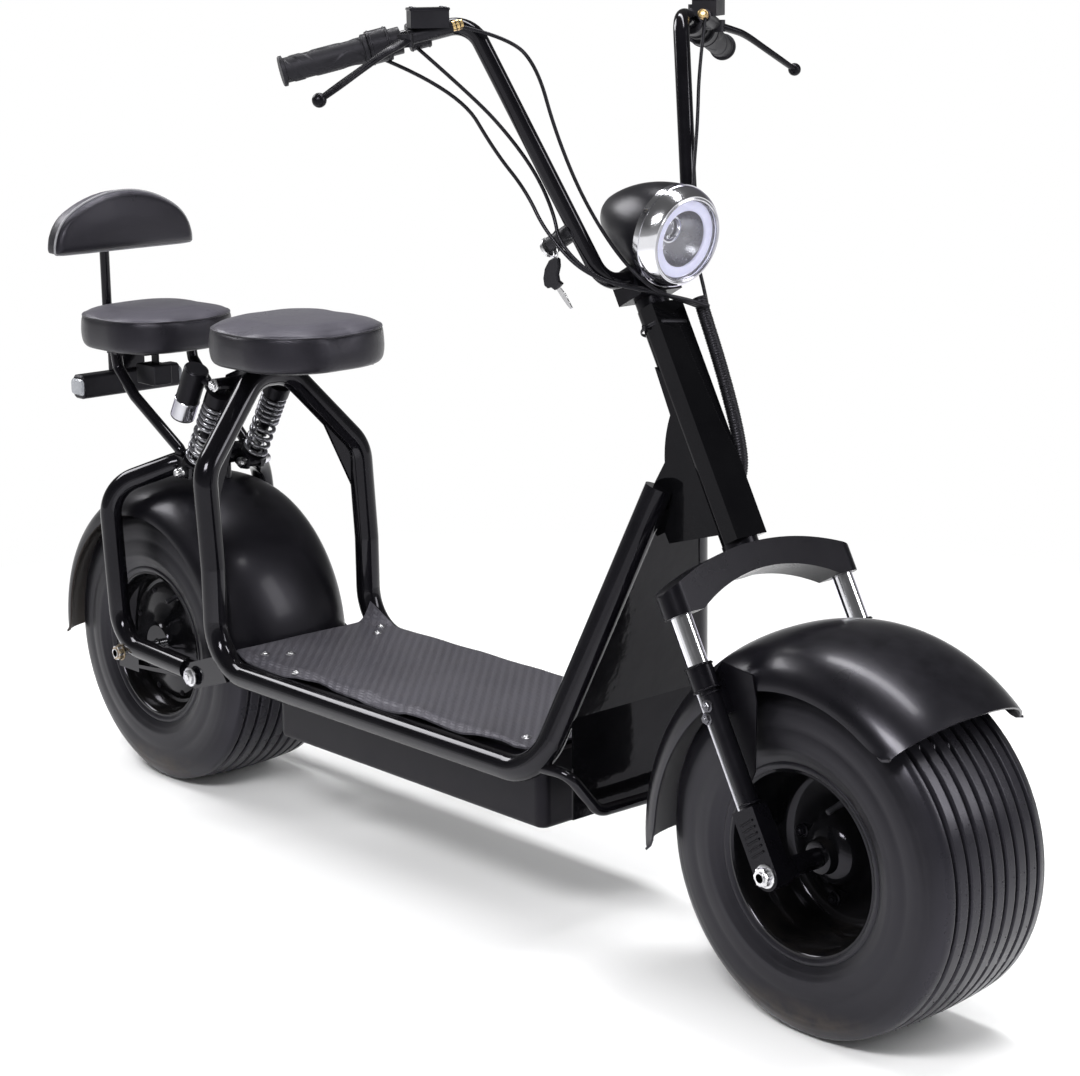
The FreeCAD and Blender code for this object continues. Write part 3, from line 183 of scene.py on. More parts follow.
def roundedOutline(halfLong, halfWide, corner, count=96):
    points = []
    perCorner = count // 4
    for quarter, (signX, signY) in enumerate(((1, 1), (-1, 1), (-1, -1), (1, -1))):
        for step in range(perCorner):
            angle = math.pi / 2 * (quarter + step / (perCorner - 1))
            points.append((signX * (halfLong - corner) + corner * math.cos(angle),
                           signY * (halfWide - corner) + corner * math.sin(angle)))
    return points


# Smooth line through control points, as a NURBS spline of order 3.
def splinePoints(controls, resolution):
    curve = bpy.data.curves.new("line", "CURVE")
    curve.dimensions = "3D"
    spline = curve.splines.new("NURBS")
    spline.points.add(len(controls) - 1)
    for point, control in zip(spline.points, controls):
        point.co = (*control, 1)
    spline.order_u = 3
    spline.use_endpoint_u = True
    spline.resolution_u = resolution
    holder = newObject("line", curve)
    mesh = evaluatedMesh(holder)
    points = [vertex.co.copy() for vertex in mesh.vertices]
    bpy.data.meshes.remove(mesh)
    bpy.data.objects.remove(holder)
    bpy.data.curves.remove(curve)
    return points


# Tube or flattened bar along points; widths are (across, high) radii in millimetres.
def sweptMesh(points, widths, sides, closed=False, above=skyward):
    count = len(points)
    verts = []
    normal = None
    for index, point in enumerate(points):
        if closed:
            way = (points[(index + 1) % count] - points[index - 1]).normalized()
        else:
            way = (points[min(index + 1, count - 1)] - points[max(index - 1, 0)]).normalized()
        if normal is None:
            normal = above - way * above.dot(way)
            if normal.length < 1e-3:
                normal = Vector((1, 0, 0)) - way * way.x
        normal = (normal - way * normal.dot(way)).normalized()
        side = way.cross(normal)
        across, high = widths[min(index, len(widths) - 1)]
        for angle in turnAngles(sides):
            offset = side * (math.cos(angle) * across) + normal * (math.sin(angle) * high)
            verts.append(point + offset / 1000)
    faces = gridFaces(count, sides, closed)
    if not closed:
        faces += [tuple(range(sides)), tuple((count - 1) * sides + step for step in range(sides))]
    return verts, faces


# Shader groups
def newGroup(name, inputs, outputs):
    group = bpy.data.node_groups.new(name, "ShaderNodeTree")
    for label, value in inputs:
        socket = group.interface.new_socket(label, in_out="INPUT", socket_type="NodeSocketFloat")
        socket.default_value = value
    for label in outputs:
        group.interface.new_socket(label, in_out="OUTPUT", socket_type="NodeSocketFloat")
    return group, group.nodes.new("NodeGroupInput"), group.nodes.new("NodeGroupOutput")


def plug(tree, value, socket):
    if hasattr(value, "links"):
        tree.links.new(value, socket)
    else:
        socket.default_value = value


def mathNode(tree, operation, *values):
    node = tree.nodes.new("ShaderNodeMath")
    node.operation = operation
    for value, socket in zip(values, node.inputs):
        plug(tree, value, socket)
    return node.outputs[0]


def times(tree, *values):
    return mathNode(tree, "MULTIPLY", *values)


def plus(tree, *values):
    return mathNode(tree, "ADD", *values)


def noise(tree, vector, scale, detail=4, roughness=0.5):
    node = tree.nodes.new("ShaderNodeTexNoise")
    tree.links.new(vector, node.inputs["Vector"])
    plug(tree, scale, node.inputs["Scale"])
    node.inputs["Detail"].default_value = detail
    node.inputs["Roughness"].default_value = roughness
    return node.outputs["Fac"]


def ranged(tree, value, low, high, newLow=0.0, newHigh=1.0):
    node = tree.nodes.new("ShaderNodeMapRange")
    for given, label in ((value, "Value"), (low, "From Min"), (high, "From Max"),
                         (newLow, "To Min"), (newHigh, "To Max")):
        plug(tree, given, node.inputs[label])
    return node.outputs[0]


def mixed(tree, factor, first, second):
    node = tree.nodes.new("ShaderNodeMix")
    node.data_type = "RGBA"
    plug(tree, factor, node.inputs[0])
    for value, socket in ((first, node.inputs[6]), (second, node.inputs[7])):
        plug(tree, value if hasattr(value, "links") else (*value, 1), socket)
    return node.outputs[2]


def objectCoords(tree):
    return tree.nodes.new("ShaderNodeTexCoord").outputs["Object"]


def split(tree, vector):
    node = tree.nodes.new("ShaderNodeSeparateXYZ")
    tree.links.new(vector, node.inputs[0])
    return node.outputs


def facing(tree):
    return split(tree, tree.nodes.new("ShaderNodeNewGeometry").outputs["Normal"])


# Fine grain for bump and a slow smudge for colour and gloss.
grainGroup, put, out = newGroup("fineGrain", [("Grain Scale", 400), ("Smudge Scale", 9)], ["Grain", "Smudge"])
coords = objectCoords(grainGroup)
grainGroup.links.new(noise(grainGroup, coords, put.outputs["Grain Scale"], 3), out.inputs["Grain"])
smudge = noise(grainGroup, coords, put.outputs["Smudge Scale"], 5, 0.6)
grainGroup.links.new(ranged(grainGroup, smudge, 0.3, 0.7), out.inputs["Smudge"])

# Dust that gathers near the floor, and a paler colour on faces that look up: settled dust where the colour is
# brown, a painted sheen where it is lavender like the highlights, as on the fenders.
dustAndSheenInputs = [("Floor Reach", 0.2), ("On Top", 0.3), ("Near Floor", 0.3)]
dustAndSheenGroup, put, out = newGroup("settledDustAndTopSheen", dustAndSheenInputs, ["Mask"])
coords = objectCoords(dustAndSheenGroup)
lowShare = ranged(dustAndSheenGroup, split(dustAndSheenGroup, coords)["Z"], 0.0, put.outputs["Floor Reach"], 1.0, 0.0)
topShare = ranged(dustAndSheenGroup, facing(dustAndSheenGroup)["Z"], 0.4, 1.0)
patches = ranged(dustAndSheenGroup, noise(dustAndSheenGroup, coords, 38, 6, 0.65), 0.35, 0.75)
total = plus(dustAndSheenGroup, times(dustAndSheenGroup, lowShare, put.outputs["Near Floor"]),
             times(dustAndSheenGroup, topShare, put.outputs["On Top"]))
dustAndSheenGroup.links.new(times(dustAndSheenGroup, total, patches), out.inputs["Mask"])

# Leather: rounded cells with creases between them.
leatherGroup, put, out = newGroup("leatherGrain", [("Cell Scale", 900)], ["Height", "Crease"])
coords = objectCoords(leatherGroup)
cells = leatherGroup.nodes.new("ShaderNodeTexVoronoi")
cells.feature = "DISTANCE_TO_EDGE"
leatherGroup.links.new(coords, cells.inputs["Vector"])
leatherGroup.links.new(put.outputs["Cell Scale"], cells.inputs["Scale"])
crease = ranged(leatherGroup, cells.outputs["Distance"], 0.0, 0.14)
wrinkles = noise(leatherGroup, coords, 60, 4, 0.6)
leatherHeight = plus(leatherGroup, times(leatherGroup, crease, 0.6), times(leatherGroup, wrinkles, 0.8))
leatherGroup.links.new(leatherHeight, out.inputs["Height"])
leatherGroup.links.new(crease, out.inputs["Crease"])

# Two-over-two twill of flat strands in the XY plane.
twillGroup, put, out = newGroup("twillWeave", [("Strand Width", 0.0082)], ["Height", "Lengthwise"])
coords = split(twillGroup, objectCoords(twillGroup))
# Added to each place, so that no strand number is below zero.
shift = 10
column, line = (mathNode(twillGroup, "DIVIDE", plus(twillGroup, coords[axis], shift), put.outputs["Strand Width"])
                for axis in "XY")
cellSum = plus(twillGroup, mathNode(twillGroup, "FLOOR", column), mathNode(twillGroup, "FLOOR", line))
lengthwise = mathNode(twillGroup, "LESS_THAN", mathNode(twillGroup, "MODULO", cellSum, 4), 1.5)


def strandHump(value):
    middle = mathNode(twillGroup, "SUBTRACT", mathNode(twillGroup, "FRACT", value), 0.5)
    return mathNode(twillGroup, "SUBTRACT", 1, times(twillGroup, 4, times(twillGroup, middle, middle)))


alongHump = times(twillGroup, strandHump(line), lengthwise)
acrossHump = times(twillGroup, strandHump(column), mathNode(twillGroup, "SUBTRACT", 1, lengthwise))
twillGroup.links.new(plus(twillGroup, alongHump, acrossHump), out.inputs["Height"])
twillGroup.links.new(lengthwise, out.inputs["Lengthwise"])

# Faces that look towards an axle, as the inside of a fender does.
insideGroup, put, out = newGroup("axleSide", [("Axle X", 0), ("Axle Z", 0.2286)], ["Mask"])
coords, looks = split(insideGroup, objectCoords(insideGroup)), facing(insideGroup)
towardsX, towardsZ = (
    times(insideGroup, mathNode(insideGroup, "SUBTRACT", coords[axis], put.outputs["Axle " + axis]), looks[axis])
    for axis in "XZ")
towards = plus(insideGroup, towardsX, towardsZ)
insideGroup.links.new(ranged(insideGroup, towards, -0.02, 0.0, 1.0, 0.0), out.inputs["Mask"])
print("shader groups ready")


# Finishes
def placeGroup(tree, group, **values):
    node = tree.nodes.new("ShaderNodeGroup")
    node.node_tree = group
    for label, value in values.items():
        node.inputs[label.replace("_", " ")].default_value = value
    return node.outputs


# How much rougher or glossier a mask makes a finish, and where the masks begin and end.
wearAndSheenLook = {"creaseShine": -0.08, "dustAndSheenShine": 0.35, "treadShine": -0.12, "insideShine": 0.3,
            "topSheenFrom": 0.55, "topSheenTo": 0.95, "treadBlend": 0.006, "insideSpeckle": 0.45}
# Columns: the shader's socket, the finish's own key, the value without it.
socketRows = [("Metallic", "metallic", 0.0), ("Specular IOR Level", "specular", 0.5), ("Coat Weight", "coat", 0.0),
              ("Coat Roughness", "coatRoughness", 0.05), ("Sheen Weight", "sheen", 0.0),
              ("Transmission Weight", "transmission", 0.0), ("IOR", "ior", 1.45)]
specularTint = (0.9, 0.87, 1.0, 1)


def makeFinish(name, first, second, roughness, scales, bumps, look):
    material = bpy.data.materials.new(name)
    material.use_nodes = True
    tree = material.node_tree
    shader = tree.nodes["Principled BSDF"]
    grain = placeGroup(tree, grainGroup, Grain_Scale=scales[0], Smudge_Scale=scales[1])
    height = grain["Grain"]
    colour = mixed(tree, grain["Smudge"], first, second)
    shine = ranged(tree, grain["Smudge"], 0, 1, *roughness)

    def worn(mask, amount):
        return plus(tree, shine, times(tree, mask, wearAndSheenLook[amount]))

    if "leatherScale" in look:
        leather = placeGroup(tree, leatherGroup, Cell_Scale=look["leatherScale"])
        height = leather["Height"]
        shine = worn(leather["Crease"], "creaseShine")
    if "strandWidth" in look:
        twill = placeGroup(tree, twillGroup, Strand_Width=look["strandWidth"])
        height = twill["Height"]
        colour = mixed(tree, twill["Lengthwise"], colour, look["strandColour"])
    # Settled dust; on the fenders its lavender on faces that look up is a painted sheen.
    if "dustAndSheen" in look:
        dustAndSheen = placeGroup(tree, dustAndSheenGroup, Floor_Reach=look.get("dustReach", 0.2),
                          On_Top=look["dustAndSheen"][0], Near_Floor=look["dustAndSheen"][1])
        colour = mixed(tree, dustAndSheen["Mask"], colour, look.get("dustAndSheenColour", (0.17, 0.14, 0.11)))
        shine = worn(dustAndSheen["Mask"], "dustAndSheenShine")
    if "topSheenColour" in look:
        # Vinyl that looks up is painted paler: a painted sheen from the light above it.
        top = ranged(tree, facing(tree)["Z"], wearAndSheenLook["topSheenFrom"], wearAndSheenLook["topSheenTo"])
        colour = mixed(tree, top, colour, look["topSheenColour"])
    if "treadHalf" in look:
        # The running band is rubbed glossier than the side walls, and painted paler and bluer on its ribs: a
        # painted reflection.
        across = mathNode(tree, "ABSOLUTE", split(tree, objectCoords(tree))["Y"])
        half, blend = look["treadHalf"], wearAndSheenLook["treadBlend"]
        band = ranged(tree, across, half - blend, half + blend, 1.0, 0.0)
        colour = mixed(tree, band, colour, look["treadReflectionColour"])
        shine = worn(band, "treadShine")
    if "insideOf" in look:
        inner = placeGroup(tree, insideGroup, Axle_X=look["insideOf"])
        patchy = ranged(tree, grain["Smudge"], 0, 1, wearAndSheenLook["insideSpeckle"], 1.0)
        colour = mixed(tree, times(tree, inner["Mask"], patchy), colour, look["insideColour"])
        shine = worn(inner["Mask"], "insideShine")
    tree.links.new(colour, shader.inputs["Base Color"])
    tree.links.new(shine, shader.inputs["Roughness"])
    for label, key, usual in socketRows:
        shader.inputs[label].default_value = look.get(key, usual)
    shader.inputs["Specular Tint"].default_value = specularTint
    if "glow" in look:
        shader.inputs["Emission Color"].default_value = (*look["glow"], 1)
        shader.inputs["Emission Strength"].default_value = look["glowStrength"]
    if bumps:
        bump = tree.nodes.new("ShaderNodeBump")
        bump.inputs["Strength"].default_value, bump.inputs["Distance"].default_value = bumps
        tree.links.new(height, bump.inputs["Height"])
        tree.links.new(bump.outputs[0], shader.inputs["Normal"])
    return material


frontAxleX = (wheelBase - axleBack) / 1000
rearAxleX = -axleBack / 1000
# Columns: first and second colour, roughness range, scales of grain and smudge, strength and depth of
# the bump, other settings.
finishRows = {
    "framePaint": ((0.002, 0.0019, 0.0027), (0.004, 0.0038, 0.005), (0.08, 0.15), (260, 14), (0.05, 0.0004),
                   dict(specular=0.24, coat=0.2, dustAndSheen=(0.02, 0.03))),
    "boxPaint": ((0.0032, 0.003, 0.0042), (0.006, 0.0056, 0.0075), (0.32, 0.44), (420, 7), (0.08, 0.0003),
                 dict(specular=0.16, dustAndSheen=(0.06, 0.08), dustReach=0.24)),
    "castPaint": ((0.002, 0.0019, 0.0027), (0.004, 0.0038, 0.005), (0.24, 0.36), (700, 12), (0.2, 0.0005),
                  dict(specular=0.16)),
    "rimPaint": ((0.002, 0.002, 0.0025), (0.0035, 0.0035, 0.004), (0.1, 0.18), (200, 10), (0.03, 0.0004),
                 dict(specular=0.24, coat=0.05, coatRoughness=0.04, dustAndSheen=(0.02, 0.04))),
    # Fender plastics: the lavender dust colour on faces that look up is a painted sheen.
    "frontFenderPlastic": ((0.0022, 0.0021, 0.003), (0.0045, 0.0042, 0.006), (0.26, 0.36), (900, 6),
                           (0.05, 0.0002),
                           dict(specular=0.36, coat=0.12, coatRoughness=0.12, insideOf=frontAxleX,
                                insideColour=(0.03, 0.029, 0.034), dustAndSheen=(0.05, 0.0),
                                dustAndSheenColour=(0.12, 0.115, 0.14))),
    "rearFenderPlastic": ((0.0022, 0.0021, 0.003), (0.0045, 0.0042, 0.006), (0.28, 0.38), (900, 6),
                          (0.05, 0.0002),
                          dict(specular=0.3, coat=0.08, coatRoughness=0.12, insideOf=rearAxleX,
                               insideColour=(0.05, 0.042, 0.036), dustAndSheen=(0.05, 0.0),
                               dustAndSheenColour=(0.12, 0.115, 0.14))),
    "mouldedPlastic": ((0.005, 0.005, 0.006), (0.009, 0.009, 0.0105), (0.36, 0.5), (1600, 20), (0.22, 0.0003),
                       dict(specular=0.28)),
    "podPlastic": ((0.003, 0.0028, 0.004), (0.005, 0.0048, 0.0065), (0.26, 0.34), (300, 12), (0.03, 0.0003),
                   dict(specular=0.26)),
    "panelGloss": ((0.002, 0.002, 0.0025), (0.0035, 0.0035, 0.004), (0.05, 0.1), (24, 9), (0.22, 0.003),
                   dict(specular=0.12, coat=0.04, coatRoughness=0.03)),
    # Seat vinyl: the paler colour on faces that look up is a painted sheen.
    "seatVinyl": ((0.005, 0.0046, 0.0065), (0.008, 0.0074, 0.0105), (0.34, 0.44), (500, 11), (0.2, 0.0007),
                  dict(specular=0.36, sheen=0.05, leatherScale=620, topSheenColour=(0.062, 0.059, 0.073))),
    "paleWelt": ((0.24, 0.24, 0.25), (0.16, 0.16, 0.17), (0.4, 0.55), (900, 60), (0.2, 0.0003), {}),
    # Tyre rubber: the paler, bluer running band is a painted reflection; the brown near the floor is dust.
    "tyreRubber": ((0.0028, 0.0027, 0.0036), (0.006, 0.0058, 0.0075), (0.34, 0.46), (700, 16), (0.15, 0.0004),
                   dict(specular=0.36, treadHalf=0.098, treadReflectionColour=(0.013, 0.0125, 0.016), dustAndSheen=(0.0, 0.8),
                        dustReach=0.06, dustAndSheenColour=(0.13, 0.1, 0.07))),
    "chromePlate": ((0.82, 0.82, 0.85), (0.74, 0.74, 0.78), (0.09, 0.17), (500, 18), (0.02, 0.0002),
                    dict(metallic=1.0)),
    "darkChrome": ((0.5, 0.5, 0.53), (0.42, 0.42, 0.45), (0.14, 0.24), (900, 20), (0.05, 0.0002),
                   dict(metallic=1.0)),
    "zincSteel": ((0.66, 0.66, 0.67), (0.48, 0.48, 0.49), (0.2, 0.38), (900, 60), (0.12, 0.0003),
                  dict(metallic=1.0)),
    "brassFitting": ((0.78, 0.58, 0.27), (0.6, 0.42, 0.2), (0.22, 0.36), (900, 60), (0.1, 0.0003),
                     dict(metallic=1.0)),
    "agedBrass": ((0.36, 0.3, 0.2), (0.26, 0.21, 0.15), (0.3, 0.45), (900, 60), (0.1, 0.0003),
                  dict(metallic=1.0)),
    "coilSteel": ((0.16, 0.16, 0.175), (0.22, 0.22, 0.235), (0.14, 0.24), (500, 40), (0.06, 0.0003),
                  dict(metallic=0.75, coat=0.2)),
    "springSteel": ((0.07, 0.07, 0.078), (0.1, 0.1, 0.11), (0.14, 0.24), (500, 40), (0.06, 0.0003),
                    dict(metallic=0.75, coat=0.2)),
    "matVinyl": ((0.042, 0.0405, 0.049), (0.052, 0.0505, 0.06), (0.38, 0.5), (500, 8), (0.55, 0.0009),
                 dict(strandWidth=0.0046, strandColour=(0.06, 0.0585, 0.069), dustAndSheen=(0.05, 0.0))),
    "gripRubber": ((0.006, 0.006, 0.007), (0.010, 0.010, 0.0115), (0.46, 0.58), (1500, 30), (0.2, 0.0003),
                   dict(specular=0.3)),
    "cableSheath": ((0.003, 0.003, 0.0036), (0.006, 0.006, 0.007), (0.3, 0.42), (1200, 40), (0.12, 0.0002),
                    dict(specular=0.28)),
    "clearGlass": ((1.0, 1.0, 1.0), (0.97, 0.98, 1.0), (0.0, 0.02), (500, 9), None,
                   dict(transmission=1.0, ior=1.46)),
    "milkyLens": ((0.3, 0.31, 0.33), (0.22, 0.23, 0.25), (0.12, 0.2), (400, 50), (0.15, 0.0006),
                  dict(coat=0.5)),
    "bowlGrey": ((0.2, 0.2, 0.22), (0.28, 0.28, 0.3), (0.22, 0.34), (500, 30), (0.08, 0.0003),
                 dict(metallic=0.8)),
    "redLens": ((0.35, 0.01, 0.012), (0.25, 0.006, 0.008), (0.08, 0.16), (300, 50), (0.2, 0.0006),
                dict(coat=0.8)),
    "haloRing": ((0.62, 0.62, 0.8), (0.55, 0.55, 0.74), (0.2, 0.3), (300, 60), None,
                 dict(coat=0.3, glow=(0.8, 0.8, 1.0), glowStrength=0.3)),
}
finishes = {name: makeFinish(name, *row) for name, row in finishRows.items()}

nodeFinishes = {
    "framePaint": "deck_rail_left deck_rail_right down_tube_left down_tube_right seat_hoop guard_bar "
                  "swing_arm_left swing_arm_right side_stand stand_bracket rear_seat_frame handlebar seat_pans",
    "boxPaint": "battery_box deck_plate",
    "castPaint": "fork_bridge fork_sliders handlebar_clamp shock_bodies",
    "podPlastic": "headlight_shell",
    "panelGloss": "front_panel neck_plates head_tube",
    "mouldedPlastic": "bar_controls tail_lamps wiring_loom bar_cables grips brake_levers",
    "chromePlate": "stanchions headlight_bezel",
    "zincSteel": "front_axle rear_axle",
    "springSteel": "shock_springs",
    "rimPaint": "front_rim rear_rim",
    "tyreRubber": "front_tyre rear_tyre",
    "frontFenderPlastic": "front_fender",
    "rearFenderPlastic": "rear_fender",
    "matVinyl": "deck_mat",
    "seatVinyl": "front_seat rear_seat backrest",
    "clearGlass": "headlight_lens",
}
for finishName, nodeNames in nodeFinishes.items():
    for nodeName in nodeNames.split():
        slots = nodeObjects[nodeName].material_slots
        if not slots:
            nodeObjects[nodeName].data.materials.append(finishes[finishName])
        for materialSlot in slots:
            materialSlot.material = finishes[finishName]
print("finishes on all nodes")


# Geometry node trees
def geometryTree(name, sockets):
    tree = bpy.data.node_groups.new(name, "GeometryNodeTree")
    tree.interface.new_socket("Geometry", in_out="INPUT", socket_type="NodeSocketGeometry")
    for label, kind in sockets:
        tree.interface.new_socket(label, in_out="INPUT", socket_type=kind)
    tree.interface.new_socket("Geometry", in_out="OUTPUT", socket_type="NodeSocketGeometry")
    return tree, tree.nodes.new("NodeGroupInput"), tree.nodes.new("NodeGroupOutput")


def finishTree(tree, put, out, instances):
    realize = tree.nodes.new("GeometryNodeRealizeInstances")
    paint = tree.nodes.new("GeometryNodeSetMaterial")
    tree.links.new(instances, realize.inputs[0])
    tree.links.new(realize.outputs[0], paint.inputs["Geometry"])
    tree.links.new(put.outputs["Material"], paint.inputs["Material"])
    tree.links.new(paint.outputs[0], out.inputs[0])


# A pattern object on every point, its Z axis along the point's facing.
scatterTree, put, out = geometryTree("scatterPattern", [("Pattern", "NodeSocketObject"), ("Seed", "NodeSocketInt"),
                                                        ("Material", "NodeSocketMaterial")])
toPoints = scatterTree.nodes.new("GeometryNodeMeshToPoints")
pattern = scatterTree.nodes.new("GeometryNodeObjectInfo")
facingValue = scatterTree.nodes.new("GeometryNodeInputNamedAttribute")
facingValue.data_type = "FLOAT_VECTOR"
facingValue.inputs["Name"].default_value = "facing"
align = scatterTree.nodes.new("FunctionNodeAlignRotationToVector")
align.axis = "Z"
spin = scatterTree.nodes.new("FunctionNodeRandomValue")
spin.data_type = "FLOAT"
spin.inputs[3].default_value = fullTurn
spinRotation = scatterTree.nodes.new("FunctionNodeAxisAngleToRotation")
combine = scatterTree.nodes.new("FunctionNodeRotateRotation")
combine.rotation_space = "LOCAL"
place = scatterTree.nodes.new("GeometryNodeInstanceOnPoints")
for start, end in ((put.outputs["Geometry"], toPoints.inputs["Mesh"]),
                   (put.outputs["Pattern"], pattern.inputs["Object"]),
                   (facingValue.outputs[0], align.inputs["Vector"]),
                   (put.outputs["Seed"], spin.inputs["Seed"]),
                   (spin.outputs[1], spinRotation.inputs["Angle"]),
                   (align.outputs[0], combine.inputs["Rotation"]),
                   (spinRotation.outputs[0], combine.inputs["Rotate By"]),
                   (toPoints.outputs[0], place.inputs["Points"]),
                   (pattern.outputs["Geometry"], place.inputs["Instance"]),
                   (combine.outputs[0], place.inputs["Rotation"])):
    scatterTree.links.new(start, end)
finishTree(scatterTree, put, out, place.outputs[0])

# A spring: a spiral with a round wire.
coilTree, put, out = geometryTree("coilSpring", [("Turns", "NodeSocketFloat"), ("Radius", "NodeSocketFloat"),
                                                 ("Height", "NodeSocketFloat"), ("Wire", "NodeSocketFloat"),
                                                 ("Material", "NodeSocketMaterial")])
spiral = coilTree.nodes.new("GeometryNodeCurveSpiral")
spiral.inputs["Resolution"].default_value = 36
wire = coilTree.nodes.new("GeometryNodeCurvePrimitiveCircle")
wire.inputs["Resolution"].default_value = 14
sweep = coilTree.nodes.new("GeometryNodeCurveToMesh")
sweep.inputs["Fill Caps"].default_value = True
for start, end in ((put.outputs["Turns"], spiral.inputs["Rotations"]),
                   (put.outputs["Radius"], spiral.inputs["Start Radius"]),
                   (put.outputs["Radius"], spiral.inputs["End Radius"]),
                   (put.outputs["Height"], spiral.inputs["Height"]),
                   (put.outputs["Wire"], wire.inputs["Radius"]),
                   (spiral.outputs[0], sweep.inputs["Curve"]),
                   (wire.outputs[0], sweep.inputs["Profile Curve"])):
    coilTree.links.new(start, end)
finishTree(coilTree, put, out, sweep.outputs[0])


# Evaluates a tree on a holder mesh and returns the plain mesh.
def evaluatedTree(tree, holderMesh, values):
    holder = newObject("holder", holderMesh)
    modifier = holder.modifiers.new("nodes", "NODES")
    modifier.node_group = tree
    for item in tree.interface.items_tree:
        if item.in_out == "INPUT" and item.name in values:
            modifier[item.identifier] = values[item.name]
    mesh = evaluatedMesh(holder)
    bpy.data.objects.remove(holder)
    return mesh


# Fasteners and other small repeats: rows of (point, facing).
def scattered(name, rows, patternShape, finish, body, slot="zinc_steel", seed=1):
    patternPiece = addPiece("pattern", *patternShape, finishes[finish])
    points = newMesh("points", [point for point, facing in rows], [])
    facings = points.attributes.new("facing", "FLOAT_VECTOR", "POINT")
    for index, (point, facing) in enumerate(rows):
        facings.data[index].vector = facing
    mesh = evaluatedTree(scatterTree, points, {"Pattern": patternPiece, "Seed": seed, "Material": finishes[finish]})
    bpy.data.objects.remove(patternPiece)
    mesh.name = name
    return settle(newObject(name, mesh), body, slot)


upright = aimed(Vector((0, 0, 0)), skyward)


# Pan head with a round recess, on a washer if one is asked for, along Z, sizes in millimetres.
def screwShape(radius, tall, washer=0.0):
    rows = [(-0.6, 0.0), (-0.6, radius), (tall * 0.45, radius), (tall * 0.8, radius * 0.86), (tall, radius * 0.6),
            (tall, radius * 0.42), (tall * 0.45, radius * 0.2), (tall * 0.4, 0.0)]
    shapes = [turnedMesh(rows, upright, 16, False)]
    if washer:
        disc = [(-0.4, 0.0), (-0.4, washer), (0.7, washer), (1.0, washer - 0.5), (1.0, 0.0)]
        shapes.append(turnedMesh(disc, upright, 20, False))
    return stacked(shapes)


# Hex nut or bolt head with a washer and the bolt's end.
def hexShape(across, tall, washer, boltRadius, boltTall):
    rows = [(-0.5, 0.0), (-0.5, across), (tall * 0.85, across), (tall, across * 0.88), (tall, 0.0)]
    disc = [(-0.6, 0.0), (-0.6, washer), (1.0, washer), (1.4, washer - 0.6), (1.4, 0.0)]
    end = [(0, 0.0), (0, boltRadius), (boltTall - 1, boltRadius), (boltTall, boltRadius - 1), (boltTall, 0.0)]
    return stacked([turnedMesh(rows, upright, 6, False), turnedMesh(disc, upright, 24, False),
                    turnedMesh(end, upright, 12, False)])


print("node trees ready")


# Tyres. Bead: points from the middle and above the bead's radius. Relief: a rim guard low on the wall and two
# fine lines near the tread, each radius with its height.
tyreLook = {"radius": 228.6, "half": 107.5, "beadRadius": 119.3, "treadHalf": 90, "shoulderDrop": 5,
            "wallHeight": 56, "wallBulge": 62, "treadBulge": 850, "grooves": 8, "groovePitch": 21.5,
            "grooveWidth": 6.2, "grooveDepth": 6.5, "steps": 270, "damEvery": 90, "damSteps": 2, "damShift": 0.62,
            "damDepth": 0.15, "relief": {146: 0.8, 149: 0.8, 196: 0.45, 206: 0.5}, "reliefReach": 2.2,
            "bead": [(94, 0), (100, 0), (101.5, 2.5), (102.6, 5), (102.4, 7), (101.2, 8.6)],
            "nubTurns": 18, "nubFrom": 7, "nubSide": 4, "nubSunk": 0.5}


# Points on an arc of a given radius from start to end, bulging outwards.
def arcRows(start, end, radius, count):
    a, b = Vector(start), Vector(end)
    middle = (a + b) / 2
    way = (b - a).normalized()
    side = Vector((way.y, -way.x))
    if side.x + side.y < 0:
        side = -side
    half = (b - a).length / 2
    centre = middle - side * math.sqrt(max(radius * radius - half * half, 0))
    first = math.atan2(a.y - centre.y, a.x - centre.x)
    last = math.atan2(b.y - centre.y, b.x - centre.x)
    rows = []
    for step in range(count + 1):
        angle = first + (last - first) * step / count
        rows.append((centre.x + radius * math.cos(angle), centre.y + radius * math.sin(angle)))
    return rows


def tyreRows(look):
    wide = (look["half"], look["radius"] - look["wallHeight"])
    shoulder = (look["treadHalf"], look["radius"] - look["shoulderDrop"])
    wall = [(side, look["beadRadius"] + above) for side, above in look["bead"]]
    wall += arcRows((101, look["beadRadius"] + 6), wide, look["wallBulge"], 14)[3:]
    wall += arcRows(wide, shoulder, look["wallBulge"], 16)[1:]
    rings = []
    for side, radius in wall:
        lift = max((rise for ring, rise in look["relief"].items() if abs(radius - ring) < look["reliefReach"]),
                   default=0)
        rings.append((side + lift, radius))
    bulge = look["treadBulge"]
    crownDrop = bulge - math.sqrt(bulge ** 2 - look["treadHalf"] ** 2)

    def treadRadius(side):
        sag = bulge - math.sqrt(bulge ** 2 - side * side)
        return look["radius"] - look["shoulderDrop"] + crownDrop - sag

    # Columns of a groove's one side: from its middle, depth.
    half, depth = look["grooveWidth"] / 2, look["grooveDepth"]
    oneSide = [(half + 1.9, 0), (half + 0.9, 0), (half + 0.2, 0.5), (half * 0.8, depth * 0.9)]
    profile = oneSide + [(0, depth)] + [(-offset, drop) for offset, drop in reversed(oneSide)]
    rows = [(side, radius, 0, -1) for side, radius in rings]
    for groove in range(look["grooves"]):
        middle = (look["grooves"] / 2 - 0.5 - groove) * look["groovePitch"]
        rows += [(middle + offset, treadRadius(middle + offset), drop, groove) for offset, drop in profile]
    return rows + [(-side, radius, 0, -1) for side, radius in reversed(rings)]


